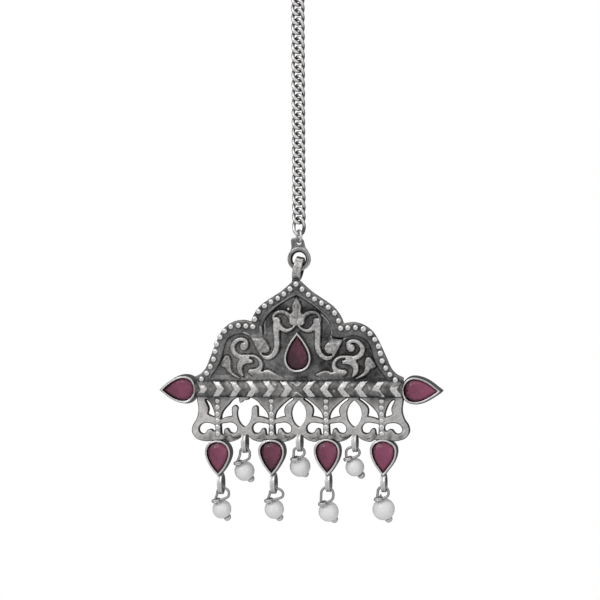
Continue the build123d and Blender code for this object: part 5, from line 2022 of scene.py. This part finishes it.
@dataclass
class PearlDrop:
    """A drilled pearl on a wire with an open eye, a coiled neck and a domed head."""

    number: int
    drop: Drop
    wire: float = 0.46
    eye_plane: float = 0.65
    hole: float = 0.64
    neck: float = 0.5
    coil_wire: float = 0.38
    coil_radius: float = 0.66
    coil_turns: float = 1.75
    coil_pitch: float = 0.28
    coil_share: float = 0.45
    knob: float = 0.7
    knob_shoulder: float = 0.24
    knob_dome: float = 0.06
    gap: float = 0.1
    eye_start: float = -48.0
    eye_step: float = 40.0
    waver: float = 0.025
    coil_start: float = 200.0
    coil_steps: int = 22
    wobble: float = 0.02
    profile_points: int = 25

    def turn(self, share: float = 1.0) -> Matrix:
        """The drilled axis's turn, or a share of it."""
        return (Matrix.Rotation(math.radians(-self.drop.tilt * share), 4, "Y")
                @ Matrix.Rotation(math.radians(self.drop.lean * share), 4, "X"))

    def axis(self) -> Matrix:
        """The drilled axis: a frame at the pearl's middle whose z runs up through the coiled neck."""
        neck = self.turn() @ Vector((0, 0, self.drop.diameter / 2 + self.neck))
        x, z = self.drop.pearl
        return Matrix.Translation((x, self.eye_plane - neck.y, z)) @ self.turn()

    def coil_place(self) -> Matrix:
        """A frame at the neck, in which the coil lies flat."""
        neck = self.axis() @ Vector((0, 0, self.drop.diameter / 2 + self.neck))
        return Matrix.Translation(neck) @ self.turn(self.coil_share)

    def eye_line(self) -> list[Vector]:
        """The wire's line from the neck up round the eye and back to the neck."""
        drop = self.drop
        coil = self.coil_place()
        waver = np.random.default_rng(70 + self.number).uniform(-self.waver, self.waver, 7)
        points = [coil @ Vector((0.35, 0.0, -0.1))]
        for step, change in enumerate(waver):
            angle = math.radians(self.eye_start + self.eye_step * step)
            points.append(Vector((drop.eye[0] + drop.reach[0] * (1 + change) * math.cos(angle),
                                  self.eye_plane + 0.1 * math.sin(angle * 0.5),
                                  drop.eye[1] + drop.reach[1] * (1 + change) * math.sin(angle))))
        points.append(coil @ Vector((-0.3, 0.0, -0.1)))
        return wire_line(points, steps=4)

    def coil_line(self) -> list[Vector]:
        """The line of the wire that is wrapped round the neck."""
        place, radius = self.coil_place(), self.coil_radius
        points = []
        for step in range(self.coil_steps + 1):
            share = step / self.coil_steps
            angle = math.radians(self.coil_start) + 2 * math.pi * self.coil_turns * share
            height = self.coil_pitch * self.coil_turns * (0.5 - share)
            points.append(place @ Vector((radius * math.cos(angle), radius * math.sin(angle), height)))
        return points

    def wires(self, place: Matrix) -> Mesh:
        """Makes the eye, the coil, the core through the pearl, its head and any cut end.

        Args:
            place: The crown's place.

        Returns:
            The wire's mesh.
        """
        bm = bmesh.new()
        axis = self.axis()
        clear = self.drop.diameter / 2 + self.gap
        add_wire(bm, self.eye_line(), self.wire / 2, sides=12, wear_and_shading=0.5)
        add_wire(bm, self.coil_line(), self.coil_wire / 2, sides=10, wear_and_shading=0.8)
        if self.drop.stub:
            end = Vector((self.drop.stub[0], self.eye_plane, self.drop.stub[1]))
            add_wire(bm, wire_line([self.coil_place().translation, end]), 0.17, sides=10, wear_and_shading=0.4)
        core = [axis @ Vector((0, 0, z)) for z in (clear + 0.3, clear * 0.5, 0, -clear * 0.5, -clear - 0.3)]
        add_wire(bm, core, self.wire / 2, sides=10, wear_and_shading=0.3)
        layer = wear_and_shading_layer(bm)
        head = bmesh.ops.create_icosphere(bm, subdivisions=3, radius=self.knob)["verts"]
        for vert in head:
            vert.co *= 1 + 0.04 * math.sin(7 * vert.co.x + self.number) * math.cos(6 * vert.co.y)
            over = vert.co.z - self.knob_shoulder
            vert.co.z = self.knob_shoulder + over * (self.knob_dome if over > 0 else 1.0)
            vert[layer] = 0.9
        seat = Matrix.Translation((0, 0, -clear - self.knob_shoulder - 0.02))
        bmesh.ops.transform(bm, matrix=axis @ seat, verts=head)
        return settle(bm, place)

    def pearl(self, place: Matrix) -> Mesh:
        """Makes the drilled pearl, not quite round.

        Args:
            place: The crown's place.

        Returns:
            The pearl's mesh.
        """
        bm = bmesh.new()
        radius = self.drop.diameter / 2
        start = math.asin(self.hole / 2 / radius)
        angles = np.linspace(start, math.pi - start, self.profile_points)
        verts = [bm.verts.new((radius * math.sin(a), 0, radius * math.cos(a))) for a in angles]
        edges = [bm.edges.new(pair) for pair in zip(verts, verts[1:])]
        edges.append(bm.edges.new((verts[-1], verts[0])))
        bmesh.ops.spin(bm, geom=verts + edges, cent=(0, 0, 0), axis=(0, 0, 1), angle=2 * math.pi, steps=40,
                       use_merge=True)
        table = np.array([v.co for v in bm.verts])
        wobble = self.wobble * lumps(table[:, 0] + table[:, 1], table[:, 2], 1.3, 50 + self.number)
        for vert, value in zip(bm.verts, wobble):
            if vert.co.xy.length > self.hole / 2 + 0.1:
                vert.co *= 1 + value - 0.012
        return settle(bm, place @ self.axis())

    def build(self, place: Matrix) -> None:
        """Builds and dresses the wire and the pearl.

        Args:
            place: The crown's place.
        """
        number = self.number
        wire_role = Role(Body.PENDANT, (f"drop_wire_{number}",), Slot.WIRE_SILVER)
        finish_piece(self.wires(place), f"wrapped_wire_{number}", DROP_SILVER, wire_role)
        pearl_role = Role(Body.PENDANT, (f"pearl_{number}",), Slot.PEARL)
        pearl = self.pearl(place)
        finish_piece(pearl, f"round_pearl_{number}", PearlFinish(), pearl_role, sharp=50)


# --- hook and chain ---
@dataclass
class CurbChain:
    """The curb links, the longer end link and the small link below them."""

    half_width: float = 0.9
    half_length: float = 1.25
    end_reach: float = 1.65
    twist: float = 0.45
    wire: float = 0.6
    flat: float = 0.68
    flat_share: float = 0.25
    end_swell: float = 0.12
    # Painted light and shade on each link: from these depths to the front and back its outer loop is rubbed
    # and lit bright; its inner sides, where the next links shade it, are painted dark.
    worn_and_lit_front: float = 0.12
    worn_and_lit_back: float = 0.5
    worn_and_lit_soft: float = 0.16
    shaded_value: float = 0.15
    worn_and_lit_gain: float = 0.8
    steps: int = 32
    sides: int = 10
    small_half_width: float = 1.1
    small_half_height: float = 1.0
    small_wire: float = 0.5
    small_turn: float = 120.0
    small_wear: float = 0.85

    def curb_line(self, reach: float) -> list[Vector]:
        """The middle line of a curb link.

        Args:
            reach: How far its lower half reaches down.

        Returns:
            Points round the link.
        """
        line = []
        for t in turns(self.steps):
            rise = math.sin(t) * (self.half_length if math.sin(t) > 0 else reach)
            line.append(Vector((self.half_width * math.cos(t), -self.twist * math.sin(2 * t), rise)))
        return line

    def link(self, z: float, reach: float) -> Mesh:
        """Makes one curb link, its faces ground a little flat, lit and rubbed bright on its outer front and
        back faces and painted dark as shade on its inner sides.

        Args:
            z: The height of its middle.
            reach: How far its lower half reaches down.

        Returns:
            The link's mesh.
        """
        bm = bmesh.new()
        radii = [self.wire / 2 * (1 + self.end_swell * abs(math.sin(t)) ** 3) for t in turns(self.steps)]
        grow(bm, tube_rings(self.curb_line(reach), radii, self.sides, closed=True), 0.0, closed=True)
        layer = wear_and_shading_layer(bm)
        # Painted light on the outer front and back faces with their rubbing, painted shade on the inner
        # sides.
        for vert in bm.verts:
            side = abs(vert.co.y)
            loop = math.hypot(vert.co.x / self.half_width, vert.co.z / reach)
            start = self.worn_and_lit_front if vert.co.y < 0 else self.worn_and_lit_back
            worn = clamp((side - start) / self.worn_and_lit_soft) * clamp((loop - 0.6) / 0.3)
            vert[layer] = self.shaded_value + self.worn_and_lit_gain * worn
            if side > self.flat:
                vert.co.y = math.copysign(self.flat + self.flat_share * (side - self.flat), vert.co.y)
        return settle(bm, Matrix.Translation((0, 0, z)))

    def small_link(self) -> Mesh:
        """The small round link between the chain and the connector."""
        bm = bmesh.new()
        turn = Matrix.Rotation(math.radians(self.small_turn), 4, "Z")
        line = [turn @ Vector((self.small_half_width * math.cos(t), 0, self.small_half_height * math.sin(t)))
                for t in turns(self.steps)]
        grow(bm, tube_rings(line, self.small_wire / 2, self.sides, closed=True), self.small_wear, closed=True)
        return settle(bm, Matrix.Translation((0, 0, SMALL_LINK_Z)))

    def build(self) -> None:
        """Builds and dresses every link."""
        for index in range(LINK_COUNT):
            role = Role(Body.CHAIN, (f"chain_link_{index + 1:02d}",), Slot.WIRE_SILVER)
            link = self.link(FIRST_LINK_Z - LINK_PITCH * index, self.half_length)
            finish_piece(link, f"curb_link_{index + 1:02d}", CHAIN_SILVER, role, sharp=60)
        end_role = Role(Body.CHAIN, ("end_link",), Slot.WIRE_SILVER)
        finish_piece(self.link(END_LINK_Z, self.end_reach), "long_end_link", CHAIN_SILVER, end_role, sharp=60)
        small_role = Role(Body.CHAIN, ("small_link",), Slot.WIRE_SILVER)
        finish_piece(self.small_link(), "small_round_link", CHAIN_SILVER, small_role)


@dataclass
class HairHook:
    """A bent wire: a bow over the hair, a free tip behind and an eye for the chain."""

    wire: float = 0.9
    bow_radius: float = 1.6
    shank_end: float = -4.6
    tip_end: float = -5.6
    eye_centre: float = -6.85
    eye_radius: float = 1.12
    eye_wire: float = 0.7
    wear_and_shading: float = 0.62
    eye_wear: float = 0.6

    def build(self) -> None:
        """Builds and dresses the hook."""
        bm = bmesh.new()
        bow, top = self.bow_radius, self.wire / 2 - self.bow_radius
        line = [(0, bow, self.tip_end), (0, bow, -4.2), (0, bow, -2.6)]
        for step in range(13):
            angle = math.pi * step / 12
            line.append((0, bow * math.cos(angle), top + bow * math.sin(angle)))
        line += [(0, -bow, -2.6), (0, -bow, -3.9), (0, -1.35, self.shank_end - 0.15), (0, -0.6, -5.3),
                 (0, -0.1, self.eye_centre + self.eye_radius + 0.25)]
        add_wire(bm, wire_line(line, steps=3), self.wire / 2, sides=16, wear_and_shading=self.wear_and_shading)
        centre, radius = self.eye_centre, self.eye_radius
        eye = [Vector((0, radius * math.cos(t), centre + radius * math.sin(t))) for t in turns(32)]
        grow(bm, tube_rings(eye, self.eye_wire / 2, 14, closed=True), self.eye_wear, closed=True)
        bmesh.ops.recalc_face_normals(bm, faces=bm.faces)
        role = Role(Body.CHAIN, ("hair_hook",), Slot.WIRE_SILVER)
        finish_piece(bm, "bent_hair_hook", WIRE_SILVER, role)


# --- studio ---
SOFTBOXES = {  # place in metres from the crown, width and height, watts
    "key_softbox": ((-0.35, -0.5, 0.42), (0.34, 0.34), 1.5),
    "fill_softbox": ((0.5, -0.45, 0.1), (0.3, 0.4), 0.5),
    "top_softbox": ((0.0, -0.1, 0.6), (0.5, 0.3), 0.6),
}


@dataclass
class Studio:
    """The camera, the soft light, the white surround and the pale floor."""

    target: Triple = (0.17, -0.28, -61.2)
    distance: float = 260.0
    azimuth: float = 12.0
    elevation: float = 0.7
    roll: float = -0.3
    lens: float = 89.1
    crown_middle: float = -0.065
    floor_z: float = -0.2
    floor_radius: float = 0.34
    glow_front: Pair = (0.5, 0.0)
    glow_above: Pair = (0.12, 0.55)

    def camera(self) -> None:
        """The camera, straight on but a little to the right."""
        data = bpy.data.cameras.new("camera")
        data.lens = self.lens
        data.sensor_width = 36.0
        data.clip_start, data.clip_end = 0.01, 10.0
        camera = add_object("camera", data)
        a, e = math.radians(self.azimuth), math.radians(self.elevation)
        away = Vector((math.sin(a) * math.cos(e), -math.cos(a) * math.cos(e), math.sin(e)))
        camera.location = (Vector(self.target) + away * self.distance) * MM
        look = (-away).to_track_quat("-Z", "Y").to_matrix() @ Matrix.Rotation(math.radians(self.roll), 3, "Z")
        camera.rotation_euler = look.to_euler()
        bpy.context.scene.camera = camera

    def softbox(self, name: str, spot: Triple, size: Pair, power: float) -> None:
        """Adds a softbox that faces the crown.

        Args:
            name: The light's name.
            spot: Its place in metres from the crown.
            size: Its width and height in metres.
            power: Its power in watts.
        """
        data = bpy.data.lights.new(name, "AREA")
        data.shape = "RECTANGLE"
        data.size, data.size_y = size
        data.energy = power
        light = add_object(name, data)
        light.location = Vector((0, 0, self.crown_middle)) + Vector(spot)
        light.rotation_euler = (-Vector(spot)).to_track_quat("-Z", "Y").to_euler()

    def surround(self) -> None:
        """A white surround for the eye, and for what the metal reflects a soft grey one, lighter above."""
        world = bpy.data.worlds.new("surround")
        world.use_nodes = True
        bpy.context.scene.world = world
        tree = world.node_tree
        wire = Wiring(tree)
        shade = tree.nodes["Background"]
        direction = tree.nodes.new("ShaderNodeSeparateXYZ")
        wire.feed(direction.inputs["Vector"], tree.nodes.new("ShaderNodeTexCoord").outputs["Generated"])
        front = wire.spread(direction.outputs["Y"], self.glow_front, (-1.0, 0.1))
        above = wire.spread(direction.outputs["Z"], self.glow_above, (-1.0, 1.0))
        grey = wire.blend(wire.math("ADD", front, above), (0.0, 0.0, 0.0, 1.0), (1.0, 1.0, 1.01, 1.0))
        seen = tree.nodes.new("ShaderNodeLightPath").outputs["Is Camera Ray"]
        wire.feed(shade.inputs["Color"], wire.blend(seen, grey, (1.0, 1.0, 1.0, 1.0)))

    def floor(self) -> None:
        """A pale round floor, well below the jewel."""
        bm = bmesh.new()
        bmesh.ops.create_circle(bm, cap_ends=True, segments=96, radius=self.floor_radius)
        bmesh.ops.translate(bm, vec=(0, 0, self.floor_z), verts=bm.verts)
        mesh = bpy.data.meshes.new("floor")
        bm.to_mesh(mesh)
        bm.free()
        mesh.materials.append(FloorFinish().material())
        floor = add_object("floor", mesh)

    def build(self) -> None:
        """Sets up the whole studio."""
        self.camera()
        for name, (spot, size, power) in SOFTBOXES.items():
            self.softbox(name, spot, size, power)
        self.surround()
        self.floor()
        bpy.context.scene.view_settings.view_transform = "Standard"


def main() -> None:
    """Builds every sub-assembly round the frame, in order from the hook down."""
    logging.basicConfig(level=logging.INFO, format="%(message)s")
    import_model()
    HairHook().build()
    CurbChain().build()
    Connector().dress(Matrix.Translation((0, 0, CONNECTOR_Z)))
    Crown().build(CROWN_PLACE)
    for number, drop in enumerate(DROPS, start=1):
        PearlDrop(number, drop).build(CROWN_PLACE)
    Studio().build()


if __name__ == "__main__":
    main()
